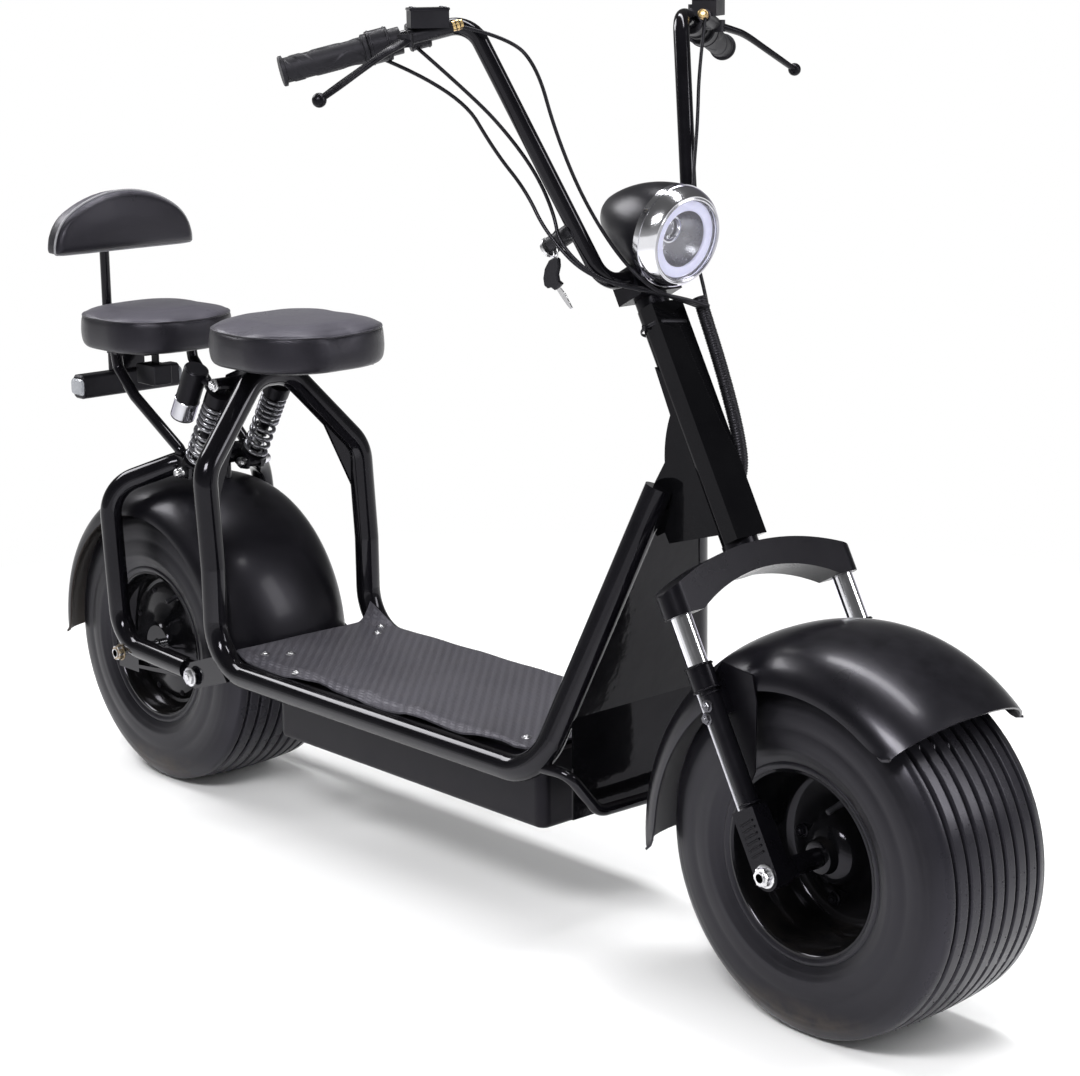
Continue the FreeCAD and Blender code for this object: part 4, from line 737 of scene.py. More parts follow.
def makeTyre(name, centre, body, node):
    look = tyreLook
    rows = tyreRows(look)
    verts = []
    for step, angle in enumerate(turnAngles(look["steps"])):
        for side, radius, drop, groove in rows:
            # Small dams cross the grooves, at other places on each half of the tread.
            phase = step if groove < look["grooves"] / 2 else step + look["damEvery"] * look["damShift"]
            inDam = groove >= 0 and (phase + groove) % look["damEvery"] < look["damSteps"]
            reach = (radius - (drop * look["damDepth"] if inDam else drop)) / 1000
            verts.append(centre + Vector((reach * math.sin(angle), side / 1000, reach * math.cos(angle))))
    shape = (verts, gridFaces(look["steps"], len(rows), True))
    fitted(name, [shape], "tyreRubber", body, "tyre_rubber", node, sharpAngle=50)
    # Moulding nubs across the ribs.
    spots = []
    for turn in range(look["nubTurns"]):
        angle = math.radians(360 / look["nubTurns"] * turn + look["nubFrom"])
        spoke = Vector((math.sin(angle), 0, math.cos(angle)))
        for rib in range(-3, 4):
            side = rib * look["groovePitch"] + look["nubSide"]
            sag = side * side / (2 * look["treadBulge"])
            foot = centre + spoke * (look["radius"] - look["nubSunk"] - sag) / 1000 + Vector((0, side / 1000, 0))
            spots.append((foot, spoke))
    nub = turnedMesh([(-0.5, 0.0), (-0.5, 0.9), (0.9, 0.7), (0.9, 0.0)], upright, 6, False)
    scattered(name + "Nubs", spots, nub, "tyreRubber", body, "tyre_rubber", seed=4)


frontAxle = spot(wheelBase, 0, wheelHeight)
rearAxle = spot(0, 0, wheelHeight)
makeTyre("frontTyre", frontAxle, "front_wheel", "front_tyre")
makeTyre("rearTyre", rearAxle, "rear_wheel", "rear_tyre")
print("tyres made")

# Rims. Columns: to the left of the middle, radius. The near half and the hub, then the near half mirrored.
frontRimHalf = [(-100, 119), (-100.4, 116), (-98.6, 114), (-95, 113.2), (-90, 112.8), (-64, 112), (-60, 110),
                (-57, 107.5), (-24, 107), (-14, 105), (-8, 100), (-6, 92), (-6, 72), (-9, 64), (-14, 58), (-20, 54)]
frontHub = [(-24, 48), (-28, 44), (-44, 42), (-50, 38), (-54, 30), (-56, 24), (-62, 22), (-68, 21), (-69, 19),
            (-69, 9), (-62, 7.1), (114, 7.1), (114, 30), (112, 36), (76, 38), (70, 44), (30, 45)]
rearRimHalf = [(-100, 119), (-100.4, 116), (-98.6, 114), (-94, 113), (-84, 112), (-78, 108), (-72, 104), (-66, 102),
               (-65, 97), (-66, 95.4), (-72, 93), (-75, 88), (-76.5, 80), (-80, 66), (-83, 48), (-86, 44)]
rearHub = [(-88, 38), (-92, 32), (-96, 30), (-96, 9), (-90, 7.1), (114, 7.1), (114, 30), (112, 31), (88, 36)]
discLook = {"steps": 120, "rings": [36, 41, 46, 51, 56, 61, 66, 71, 75], "faces": (112, 115.4),
            "holeRings": (2, 4, 6), "holeEvery": 10, "holeSteps": 2}


# Brake disc with round holes in three rings, between two faces.
def brakeDisc(name, centre, body):
    steps, rings = discLook["steps"], discLook["rings"]
    verts, faces = [], []
    for face in discLook["faces"]:
        for angle in turnAngles(steps):
            for ring in rings:
                verts.append(centre + Vector((ring * math.cos(angle), face, ring * math.sin(angle))) / 1000)
    count = len(rings)
    per = steps * count
    holes = {(step, ring) for step in range(steps) for ring in discLook["holeRings"]
             if (step + ring * 5) % discLook["holeEvery"] < discLook["holeSteps"]}
    for step in range(steps):
        after = (step + 1) % steps
        for ring in range(count - 1):
            low = [step * count + ring, step * count + ring + 1, after * count + ring + 1, after * count + ring]
            if (step, ring) not in holes:
                faces.append(tuple(low))
                faces.append(tuple(index + per for index in reversed(low)))
            else:
                edges = ((0, 1, (step - 1) % steps, ring), (1, 2, step, ring + 1), (2, 3, after, ring),
                         (3, 0, step, ring - 1))
                for start, end, nextStep, nextRing in edges:
                    if (nextStep, nextRing) not in holes:
                        faces.append((low[start], low[end], low[end] + per, low[start] + per))
        for ring in (0, count - 1):
            a, b = step * count + ring, after * count + ring
            faces.append((a, b, b + per, a + per))
    fitted(name, [(verts, faces)], "zincSteel", body, "zinc_steel", sharpAngle=30)


def wheelBolts(name, centre, body, sideSpot, ringRadius, count, shape):
    rows = []
    for turn in range(count):
        angle = fullTurn * (turn + 0.5) / count
        for sign in (-1, 1):
            point = Vector((ringRadius * math.cos(angle), sideSpot * sign, ringRadius * math.sin(angle))) / 1000
            rows.append((centre + point, sideways * sign))
    scattered(name, rows, shape, "castPaint", body, seed=2)


for name, half, hub, centre, body, node in (
        ("frontRim", frontRimHalf, frontHub, frontAxle, "front_wheel", "front_rim"),
        ("rearRim", rearRimHalf, rearHub, rearAxle, "rear_wheel", "rear_rim")):
    rows = half + hub + [(-left, radius) for left, radius in reversed(half)]
    rim = turnedMesh(rows, aimed(centre, sideways), 180)
    fitted(name, [rim], "rimPaint", body, "rim_paint", node, sharpAngle=40)
    brakeDisc(name + "Disc", centre, body)
wheelBolts("frontRimBolts", frontAxle, "front_wheel", 7, 80, 5, hexShape(7, 6, 9, 4, 9))
wheelBolts("rearRimScrews", rearAxle, "rear_wheel", 75.4, 86, 8, screwShape(3.6, 2.6, 5))
print("rims made")


# Fenders. Each arc: start, sweep, growth of the radius, direction of the grown centre.
fenderLook = {
    "front": {"centre": frontAxle, "radius": 282, "skirt": 62, "half": 125, "sheet": 3, "body": "steering",
              "arcs": [(-94, 52, 26, -42), (-42, 84, 0, 0)], "finish": "frontFenderPlastic", "noseRound": 7,
              "across": 44},
    "rear": {"centre": rearAxle, "radius": 268, "skirt": 54, "half": 125, "sheet": 3, "body": "frame",
             "arcs": [(-94, 86, 0, 0), (-8, 93, -12, -8)], "finish": "rearFenderPlastic", "noseRound": 6,
             "across": 44},
}


# Path round the wheel: point and outward spoke for each step of the arcs.
def fenderPath(look, stepDegrees=1.5):
    path = []
    for start, sweep, growth, seam in look["arcs"]:
        spoke = Vector((math.sin(math.radians(seam)), 0, math.cos(math.radians(seam))))
        centre = spoke * -growth
        count = round(sweep / stepDegrees)
        for step in range(count + 1):
            if path and step == 0:
                continue
            angle = math.radians(start + sweep * step / count)
            out = Vector((math.sin(angle), 0, math.cos(angle)))
            path.append((centre, out, look["radius"] + growth))
    return path


def makeFender(kind):
    look = fenderLook[kind]
    path = fenderPath(look)
    across, noseRound, skirt = look["across"], look["noseRound"], look["skirt"]
    squareness, noseLift = 0.91, 2.4
    verts = []
    for index, (centre, out, radius) in enumerate(path):
        fromEnd = min(index, len(path) - 1 - index)
        for step in range(across + 1):
            angle = math.pi * (step / across - 0.5)
            side = look["half"] * math.copysign(abs(math.sin(angle)) ** squareness, angle)
            drop = skirt * (1 - math.cos(angle))
            # The corners at both ends are rounded off.
            if fromEnd < noseRound:
                lost = noseRound - math.sqrt(noseRound * noseRound - (noseRound - fromEnd) ** 2)
                drop = min(drop, skirt - lost * noseLift)
            verts.append(look["centre"] + (centre + out * (radius - drop) + sideways * side) / 1000)
    row = across + 1
    mesh = newMesh(kind + "FenderSheet", verts, gridFaces(len(path), row, False, False))
    work = bmesh.new()
    work.from_mesh(mesh)
    bmesh.ops.recalc_face_normals(work, faces=work.faces)
    work.verts.ensure_lookup_table()
    middle = work.verts[(len(path) // 2) * row + across // 2]
    outwards = path[len(path) // 2][1]
    if middle.normal.dot(outwards) < 0:
        bmesh.ops.reverse_faces(work, faces=work.faces)
    work.to_mesh(mesh)
    work.free()
    piece = newObject(kind + "FenderSheet", mesh)
    wall = piece.modifiers.new("wall", "SOLIDIFY")
    wall.thickness = look["sheet"] / 1000
    wall.offset = -1
    solid = evaluatedMesh(piece)
    piece.modifiers.clear()
    piece.data = solid
    shaded(solid, 40)
    solid.materials.append(finishes[look["finish"]])
    settle(piece, look["body"], "fender_plastic", kind + "_fender")


makeFender("front")
makeFender("rear")
print("fenders made")


# Seats
clothLook = {"tension": 25, "shear": 12, "frames": 20, "sharings": 45}


# Swells a closed mesh with air pressure, and keeps every point within a cap.
def inflated(piece, pressure, cap, pinnedBelow, voxel):
    scene = bpy.context.scene
    even = piece.modifiers.new("even", "REMESH")
    even.mode = "VOXEL"
    even.voxel_size = voxel / 1000
    mesh = evaluatedMesh(piece)
    piece.modifiers.clear()
    piece.data = mesh
    rest = piece.vertex_groups.new(name="onPan")
    rest.add([v.index for v in mesh.vertices if v.co.z < pinnedBelow], 1.0, "ADD")
    before = [vertex.co.copy() for vertex in mesh.vertices]
    cloth = piece.modifiers.new("cloth", "CLOTH")
    cloth.settings.use_pressure = True
    cloth.settings.uniform_pressure_force = pressure
    cloth.settings.effector_weights.gravity = 0
    cloth.settings.tension_stiffness = cloth.settings.compression_stiffness = clothLook["tension"]
    cloth.settings.shear_stiffness = clothLook["shear"]
    cloth.settings.vertex_group_mass = "onPan"
    for frameNumber in range(1, clothLook["frames"] + 1):
        scene.frame_set(frameNumber)
    swollen = piece.evaluated_get(bpy.context.evaluated_depsgraph_get()).to_mesh()
    after = [vertex.co.copy() for vertex in swollen.vertices]
    piece.modifiers.clear()
    piece.vertex_groups.clear()
    scene.frame_set(1)
    # Neighbours share their moves, so that the taut cover swells without creases.
    links = [[] for vertex in mesh.vertices]
    for first, second in (meshEdge.vertices for meshEdge in mesh.edges):
        links[first].append(second)
        links[second].append(first)
    moves = [end - start for start, end in zip(before, after)]
    for _ in range(clothLook["sharings"]):
        moves = [(moves[index] + sum((moves[other] for other in near), Vector()) / len(near)) / 2
                 for index, near in enumerate(links)]
    for vertex, start, move in zip(mesh.vertices, before, moves):
        if move.length > cap / 1000:
            move = move.normalized() * cap / 1000
        vertex.co = start + move
    mesh.update()


# A seat's or backrest's cover from rings of points, swollen. Returns a tree of its faces.
def makeCover(name, rings, look, pinnedBelow, node):
    verts = [point for ring in rings for point in ring]
    vinyl = finishes["seatVinyl"]
    cover = addPiece(name, verts, gridFaces(len(rings), len(rings[0])), vinyl, 60)
    inflated(cover, look["pressure"], look["cap"], pinnedBelow, look["voxel"])
    finer = cover.modifiers.new("finer", "SUBSURF")
    finer.levels = finer.render_levels = 1
    mesh = evaluatedMesh(cover)
    cover.modifiers.clear()
    cover.data = mesh
    for polygon in mesh.polygons:
        polygon.use_smooth = True
    mesh.materials.clear()
    mesh.materials.append(vinyl)
    settle(cover, "frame", "seat_cover", node)
    return BVHTree.FromObject(cover, bpy.context.evaluated_depsgraph_get())


# Round welt on the cover's faces nearest to the given points, lifted off them.
def makeWelt(name, tree, points, radius, lift, finish):
    path = []
    for point in points:
        place, normal = tree.find_nearest(point)[:2]
        path.append(place + normal * lift)
    fitted(name, [sweptMesh(path, [(radius, radius)], 10, True)], finish, "frame", "seat_cover")


seatLook = {
    "frontSeat": {"node": "front_seat", "x": 274, "low": 707, "tall": 69, "long": 128, "wide": 125, "corner": 98},
    "rearSeat": {"node": "rear_seat", "x": -105, "low": 694, "tall": 65, "long": 116, "wide": 116, "corner": 90},
}
seatShape = {"edgeDrop": 13, "pressure": 4, "cap": 5, "voxel": 4.5, "weltRadius": 1.6, "weltInset": 1.5,
             "weltRise": 1.5, "weltLift": 0.0002, "inset": 3}


def makeSeat(name):
    look, shape = seatLook[name], seatShape
    low, top = look["low"], look["low"] + look["tall"]
    edge = top - shape["edgeDrop"]
    outline = roundedOutline(look["long"] - shape["inset"], look["wide"] - shape["inset"], look["corner"])

    def ringAt(share, inset, height):
        points = []
        for px, py in outline:
            length = math.hypot(px, py)
            keep = share * (length - inset) / length
            points.append(spot(look["x"] + px * keep, py * keep, height))
        return points

    # Columns: share of the outline, inset from it, height.
    rows = [(0.0, 0, low), (0.55, 0, low), (1, 16, low), (1, 7, low + 2), (1, 2.5, low + 8), (1, 0.5, low + 18),
            (1, 0, low + 28), (1, 1, edge - 6), (1, 2.5, edge), (1, 9, edge + 4.5), (1, 20, edge + 7.5),
            (1, 38, edge + 9.5), (0.42, 0, top - 2.2), (0.18, 0, top - 1.4), (0.0, 0, top - 1.2)]
    rings = [ringAt(*row) for row in rows]
    tree = makeCover(name, rings, shape, (low + 3) / 1000, look["node"])
    # The welt follows the swollen cover's upper edge.
    line = ringAt(1, shape["weltInset"], edge + shape["weltRise"])
    makeWelt(name + "Welt", tree, line, shape["weltRadius"], shape["weltLift"], "seatVinyl")


makeSeat("frontSeat")
makeSeat("rearSeat")
print("seats made")

restLook = {"half": 133, "low": 842, "tall": 98, "side": 5, "corner": 74, "deep": 46, "back": -221, "middle": 0.42,
            "pressure": 4, "cap": 5, "voxel": 4.5, "pipeAt": 32, "pipeRadius": 2.0, "pipeLift": 0.0006}


# Half moon outline on arcs: tight lower corners, round upper ones and a crown.
def restOutline(look, shrink):
    half, tall = look["half"] - shrink, look["tall"] - shrink
    low = shrink
    side = max(look["side"] - shrink, 3)
    rise = tall - low - side
    corner = min(look["corner"] - shrink, rise * 0.8)
    inner = half - corner
    crown = (inner ** 2 + rise ** 2 - corner ** 2) / (2 * (rise - corner))
    lean = math.atan2(low + side - (tall - crown), inner)
    right = []
    for step in range(7):
        angle = math.pi / 2 * (step / 6 - 1)
        right.append((half - side + side * math.cos(angle), low + side + side * math.sin(angle)))
    for step in range(1, 13):
        angle = lean * step / 12
        right.append((inner + corner * math.cos(angle), low + side + corner * math.sin(angle)))
    for step in range(1, 17):
        angle = lean + (math.pi / 2 - lean) * step / 16
        right.append((crown * math.cos(angle), tall - crown + crown * math.sin(angle)))
    left = [(-y, z) for y, z in reversed(right[:-1])]
    flat = [(-(half - side) + 2 * (half - side) * step / 20, low) for step in range(1, 20)]
    return right + left + flat


def makeBackrest():
    look = restLook
    back, front = look["back"], look["back"] + look["deep"]
    # Columns: shrink of the outline, share of it, lengthwise place.
    rows = [(4, 0.0, back + 1), (4, 0.5, back + 1), (9, 1, back + 1.5), (4, 1, back + 4), (1.5, 1, back + 10),
            (1, 1, back + look["pipeAt"]), (1.5, 1, front - 13), (4, 1, front - 7), (8, 1, front - 4),
            (14, 1, front - 2.5), (26, 0.72, front - 2), (26, 0.35, front - 1.5), (26, 0.0, front - 1.5)]
    middle = Vector((0, look["tall"] * look["middle"]))
    rings = []
    for shrink, share, ahead in rows:
        points = [middle + (Vector(place) - middle) * share for place in restOutline(look, shrink)]
        rings.append([spot(ahead, point.x, look["low"] + point.y) for point in points])
    tree = makeCover("backrestPad", rings, look, 0.0, "backrest")
    line = [spot(back + look["pipeAt"], y, look["low"] + z) for y, z in restOutline(look, 1)]
    makeWelt("backrestPiping", tree, line, look["pipeRadius"], look["pipeLift"], "paleWelt")


makeBackrest()
print("backrest made")

# Springs
shockLook = {"low": (65, 518), "high": (156, 667), "side": 56, "coilStart": 21, "coilEnd": 139, "radius": 17.6,
             "wire": 3.3, "tightTurns": 5.5, "tightLength": 52, "openTurns": 4.2, "eyeHalf": 17.2}


def shockEnds(side):
    return [spot(shockLook[end][0], side, shockLook[end][1]) for end in ("low", "high")]


def makeSprings():
    look = shockLook
    openLength = look["coilEnd"] - look["coilStart"] - look["tightLength"]
    tightStart = look["coilStart"] + openLength
    # Columns: start along the shock, turns, length, turn at the start.
    parts = ((look["coilStart"], look["openTurns"], openLength, 0),
             (tightStart, look["tightTurns"], look["tightLength"], look["openTurns"] * fullTurn))
    coils, collars = [], []
    for sign in (-1, 1):
        low, high = shockEnds(look["side"] * sign)
        way = (high - low).normalized()
        for start, turns, length, spin in parts:
            mesh = evaluatedTree(coilTree, bpy.data.meshes.new("empty"), {
                "Turns": turns, "Radius": look["radius"] / 1000, "Height": length / 1000,
                "Wire": look["wire"] / 1000, "Material": finishes["coilSteel"]})
            turn = way.to_track_quat("Z", "Y").to_matrix().to_4x4() @ Matrix.Rotation(spin, 4, "Z")
            mesh.transform(Matrix.Translation(low + way * start / 1000) @ turn)
            coils.append(([v.co.copy() for v in mesh.vertices], [tuple(p.vertices) for p in mesh.polygons]))
        collars.append(turnedMesh([(16, 9.4), (18, 12), (23, 12), (25, 9.4)], aimed(low, way), 32))
    fitted("shockCoils", coils, "coilSteel", "frame", "zinc_steel", "shock_springs")
    fitted("shockCollars", collars, "zincSteel", "frame", "zinc_steel")


makeSprings()
print("springs made")

# Handlebar fittings
barEnd = spot(792, -388, 1176)
barBend = forkSpot(44, -185, 1115)
inward = (barBend - barEnd).normalized()
barForward = inward.cross(skyward).normalized()


def alongBar(inwards, ahead=0.0, up=0.0, sign=-1):
    point = barEnd + (inward * inwards + barForward * ahead + skyward * up) / 1000
    return Vector((point.x, -point.y * sign, point.z))


gripLook = {"radius": 16, "flange": 19, "length": 108, "steps": 120, "rings": 96, "rise": 0.9, "overhang": 4,
            "innerFlange": 5, "outerFlange": 7, "flangeRound": 0.8}


# Rubber grip with curved waves moulded round it between two flanges.
def makeGrips():
    look = gripLook
    shapes = []
    for sign in (-1, 1):
        start = alongBar(-look["overhang"], sign=sign)
        matrix = aimed(start, alongBar(look["length"], sign=sign) - start)
        total = look["length"] + look["overhang"]
        verts = []
        for ring in range(look["rings"] + 1):
            along = total * ring / look["rings"]
            for angle in turnAngles(look["steps"]):
                if along < look["innerFlange"] or along > total - look["outerFlange"]:
                    radius = look["flange"] - (look["flangeRound"] if along in (0, total) else 0)
                else:
                    wave = math.sin(2 * angle + along * 0.16 * (1 + 0.4 * math.sin(along * 0.05)))
                    radius = look["radius"] + look["rise"] * max(0.0, min(1.0, wave * 3 + 0.4)) - look["rise"] * 0.5
                local = Vector((along, radius * math.cos(angle), radius * math.sin(angle))) / 1000
                verts.append(matrix @ local)
        count = look["steps"]
        caps = [tuple(range(count)), tuple(look["rings"] * count + step for step in range(count))]
        shapes.append((verts, gridFaces(look["rings"] + 1, count) + caps))
    fitted("gripSleeves", shapes, "gripRubber", "steering", "grip_rubber", "grips", sharpAngle=50)


makeGrips()

# The blade's radii run from root to tip, across and high.
leverLook = {"start": (152, 32, 0), "bend": (122, 60, -5), "tip": (903, -419, 1146), "ball": 9, "across": 8.5,
             "acrossLoss": 4, "swell": 1.5, "high": 5.2, "highLoss": 1.4}


def makeLevers():
    look = leverLook
    ball = [(-look["ball"] * math.cos(math.pi * step / 16), max(look["ball"] * math.sin(math.pi * step / 16), 0.0))
            for step in range(17)]
    shapes = []
    for sign in (-1, 1):
        first = alongBar(*look["start"], sign=sign)
        second = alongBar(*look["bend"], sign=sign)
        tip = spot(*look["tip"])
        tip.y = abs(tip.y) * sign
        controls = [first, first.lerp(second, 0.5), second, second.lerp(tip, 0.4), second.lerp(tip, 0.75), tip]
        points = splinePoints(controls, 8)
        shares = [index / (len(points) - 1) for index in range(len(points))]
        widths = [(look["across"] - look["acrossLoss"] * share + look["swell"] * math.sin(share * 9),
                   look["high"] - look["highLoss"] * share) for share in shares]
        shapes.append(sweptMesh(points, widths, 16))
        shapes.append(turnedMesh(ball, aimed(tip, tip - second), 24, False))
    fitted("leverBlades", shapes, "castPaint", "steering", "black_plastic", "brake_levers", sharpAngle=60)


makeLevers()
print("grips and levers made")

# Cables
cableLook = {"radius": 2.4, "loomRadius": 9.2, "ridge": 0.6, "ridgePitch": 3.4, "loomStep": 0.0009}
loomRoute = [(1091, 38, 880), (1101, 38, 858), (1132, 38, 790), (1162, 36, 716), (1172, 36, 664), (1150, 34, 622),
             (1112, 24, 606)]
# Each: start on the controls, points in space, points along the fork, side.
cableRoutes = {
    "throttle": ((128, 0, -18), [(921, -215, 1148), (924, -160, 1069), (948, -130, 1020), (984, -129, 968)],
                 [(7, -108, 774), (37, -34, 738), (37, 34, 706)], -1),
    "lever": ((170, 8, -14), [(934, -200, 1138), (950, -158, 1090), (968, -128, 1040), (986, -116, 990),
                              (1003, -124, 955)], [(12, -98, 767), (44, -32, 730), (44, 36, 704)], -1),
    "hose": ((218, 29, 2), [(955, -160, 1212), (986, -142, 1176), (993, -120, 1096), (1013, -92, 1010)],
             [(30, -66, 786), (48, -44, 730), (51, 6, 714), (52, 33, 702)], -1),
    "farHose": ((218, 29, 2), [(948, -182, 1160), (985, -142, 1090), (1012, -106, 1022)],
                [(26, 70, 790), (34, 56, 736), (38, 45, 706)], 1),
}


def makeCables():
    look = cableLook
    shapes = []
    for start, inSpace, onFork, sign in cableRoutes.values():
        controls = [alongBar(*start, sign=sign)] + [spot(x, -y * sign, z) for x, y, z in inSpace]
        controls += [forkSpot(*row) for row in onFork]
        shapes.append(sweptMesh(splinePoints(controls, 10), [(look["radius"], look["radius"])], 14))
    fitted("barCables", shapes, "cableSheath", "steering", "black_plastic", "bar_cables", sharpAngle=60)
    points = splinePoints([spot(*row) for row in loomRoute], 12)
    # Split convoluted sleeve: a ridge every few millimetres.
    dense = []
    for first, second in zip(points, points[1:]):
        pieces = max(1, round((second - first).length / look["loomStep"]))
        dense += [first.lerp(second, step / pieces) for step in range(pieces)]
    length = 0.0
    widths = []
    for index, point in enumerate(dense):
        if index:
            length += (point - dense[index - 1]).length * 1000
        ridge = look["ridge"] * (math.sin(length * 2 * math.pi / look["ridgePitch"]) > 0)
        widths.append((look["loomRadius"] - ridge,) * 2)
    shape = sweptMesh(dense, widths, 20)
    fitted("loomSleeve", [shape], "cableSheath", "frame", "black_plastic", "wiring_loom", sharpAngle=60)


makeCables()
print("cables made")

# Headlight
lampBack = spot(965, 0, 985)
lampAim = Vector((math.cos(math.radians(11)), 0, -math.sin(math.radians(11))))
lampMatrix = aimed(lampBack, lampAim)
podFront = 124

# Places along the lamp's axis are from the bezel's start, and radii from the axis.
lampLook = {"bowl": [(-34, 0.0), (-34, 14), (-28, 26), (-16, 38), (-2, 47), (12, 50.8), (14, 51.6), (14.4, 50.8),
                     (0, 46.6), (-15, 37), (-26.5, 25), (-32.5, 13), (-32.5, 0.0)],
            "haloAt": 11, "haloInner": 36.5, "haloOuter": 50.6, "barrelAt": -14, "barrelLift": 6,
            "eyeRadius": 14.4, "eyeBulge": 8, "eyeSteps": 10,
            "skirt": [(-9, 65.4), (-9.4, 66.2), (-8.8, 66.8), (0, 67), (0, 66.1)],
            "lip": [(18.5, 51.9), (21.3, 52.3), (22, 53.6), (21.2, 55.8), (18, 57.6)]}


def makeHeadlight():
    look = lampLook
    at, inner, outer = look["haloAt"], look["haloInner"], look["haloOuter"]
    halo = [(at - 2, inner + 1), (at + 0.6, inner), (at + 2, inner + 1.2), (at + 2.4, (inner + outer) / 2),
            (at + 2, outer - 1.2), (at + 0.6, outer), (at - 2, outer - 1)]
    start = look["barrelAt"]
    lifted = Matrix.Translation((0, 0, look["barrelLift"] / 1000)) @ lampMatrix
    barrel = [(start - 14, 9), (start - 14, 17), (start, 18), (start + 3, 17.6), (start + 3, 15.4), (start, 14.8),
              (start - 8, 14.6), (start - 8, 9)]
    eye = [(start - 6, 0.0), (start - 6, look["eyeRadius"])]
    for step in range(1, look["eyeSteps"]):
        angle = math.pi / 2 * step / look["eyeSteps"]
        eye.append((start - 3 + look["eyeBulge"] * math.sin(angle), look["eyeRadius"] * math.cos(angle)))
    eye.append((start - 3 + look["eyeBulge"], 0.0))
    for name, rows, matrix, steps, closed, finish, slot in (
            ("headlightBowl", look["bowl"], lampMatrix, 96, False, "bowlGrey", "black_plastic"),
            ("headlightHalo", halo, lampMatrix, 96, True, "haloRing", "lens"),
            ("projectorBarrel", barrel, lifted, 64, True, "chromePlate", "chrome"),
            ("projectorEye", eye, lifted, 64, False, "clearGlass", "lens"),
            ("bezelSkirt", look["skirt"], lampMatrix, 96, True, "chromePlate", "chrome"),
            ("bezelLip", look["lip"], lampMatrix, 96, True, "darkChrome", "chrome")):
        placed = [(podFront + along, radius) for along, radius in rows]
        fitted(name, [turnedMesh(placed, matrix, steps, closed)], finish, "steering", slot)


makeHeadlight()
print("headlight made")

# Fork: bright rods, rings, the fender's brackets and their bolts. Columns of rings: ahead of the leg, up along it,
# radius, wire.
forkLook = {"side": 148, "rodLag": 14.5, "rodLow": 82, "rodHigh": 238,
            "rings": [(0, 236, 17.2, 1.3), (0, 266, 17.2, 1.3), (3, 88, 12.4, 1.8), (3, 230, 12.2, 1.4)],
            "castRows": [26, 34, 42, 50, 58, 66], "castFace": 13, "bracketSide": 126.5, "bracketThick": 2.4}
# Columns: ahead of the fork legs, up along the fork.
bracketCorners = [(-14, 246), (20, 262), (62, 232), (57, 214), (54, 202), (32, 163), (9, 122), (-2, 114),
                  (-10, 122), (-14, 150)]


# Spacers on the front axle between the hub and the legs, with a lock nut.
def makeSpacers():
    shapes = []
    leg = 134
    for sign, start in ((-1, 70), (1, 117)):
        rows = [(start, 7.2), (start, 12), (start + 2, 13), (leg - 9, 13), (leg - 8, 17), (leg, 17), (leg, 7.2)]
        shapes.append(turnedMesh(rows, aimed(frontAxle, sideways * sign), 32))
    fitted("axleSpacers", shapes, "castPaint", "steering", "frame_paint")


def makeForkTrim():
    look = forkLook
    rods, rings, plates, bolts = [], [], [], []
    for sign in (-1, 1):
        side = look["side"] * sign
        low, high = (forkSpot(-look["rodLag"], side, look[end]) for end in ("rodLow", "rodHigh"))
        length = (high - low).length * 1000
        rods.append(turnedMesh([(0, 3.4), (0, 4.5), (length, 4.5), (length, 3.4)], aimed(low, high - low), 24))
        for ahead, up, radius, wire in look["rings"]:
            rings.append(ringMesh(forkSpot(ahead, side, up), upFork, radius, wire))
        face = side + look["castFace"] * sign
        for up in look["castRows"]:
            rings.append(sweptMesh([forkSpot(-12, face, up), forkSpot(12, face, up + 3)], [(1.6, 1.6)], 8))
        thick = look["bracketThick"]
        place = forkSpot(0, look["bracketSide"] * sign + thick / 2, 0)
        outline = [(up, ahead) for ahead, up in bracketCorners]
        plates.append(slabMesh(outline, axes(place, -sideways, upFork, aheadFork), thick, 0.5))
        for ahead, up in ((4, 216), (-4, 202)):
            bolts.append((forkSpot(ahead, side + 12 * sign, up), sideways * sign))
    fitted("forkRods", rods, "darkChrome", "steering", "zinc_steel")
    fitted("forkRings", rings, "castPaint", "steering", "frame_paint")
    fitted("fenderBrackets", plates, "castPaint", "steering", "frame_paint")
    scattered("bracketBolts", bolts, hexShape(6.2, 5, 8, 3, 6.5), "springSteel", "steering")


# The same nut on both ends of an axle or a pivot, at an offset in metres to each side of its middle.
def nutPair(name, middle, offset, shape, finish, body):
    ends = [(middle + offset * sign, sideways * sign) for sign in (-1, 1)]
    scattered(name, ends, shape, finish, body)


makeSpacers()
makeForkTrim()
nutPair("frontAxleNuts", frontAxle, sideways * 0.161, hexShape(12.6, 9.4, 15, 7, 11), "zincSteel", "steering")
print("fork trim made")

# Shocks: bolts, bright sleeves, the gas tank's sleeve and cap. Profiles: along, radius.
sleeveRows = {"dome": [(23, 0.0), (23, 8.4), (27, 8.4), (29, 7.6), (33, 6.8), (35.4, 4.6), (36, 0.0)],
              "inner": [(11.5, 0.0), (11.5, 8), (24, 8), (25, 6.5), (25, 0.0)],
              "stem": [(30, 9.2), (32, 11.4), (36, 11.4), (37, 10), (58, 9.8), (60, 9.2)],
              "tank": [(-0.8, 0.0), (-0.8, 16), (1.5, 18.6), (3, 19.5), (30, 19.5), (31, 20), (33, 20), (34, 19.2),
                       (34, 18), (10, 0.0)]}


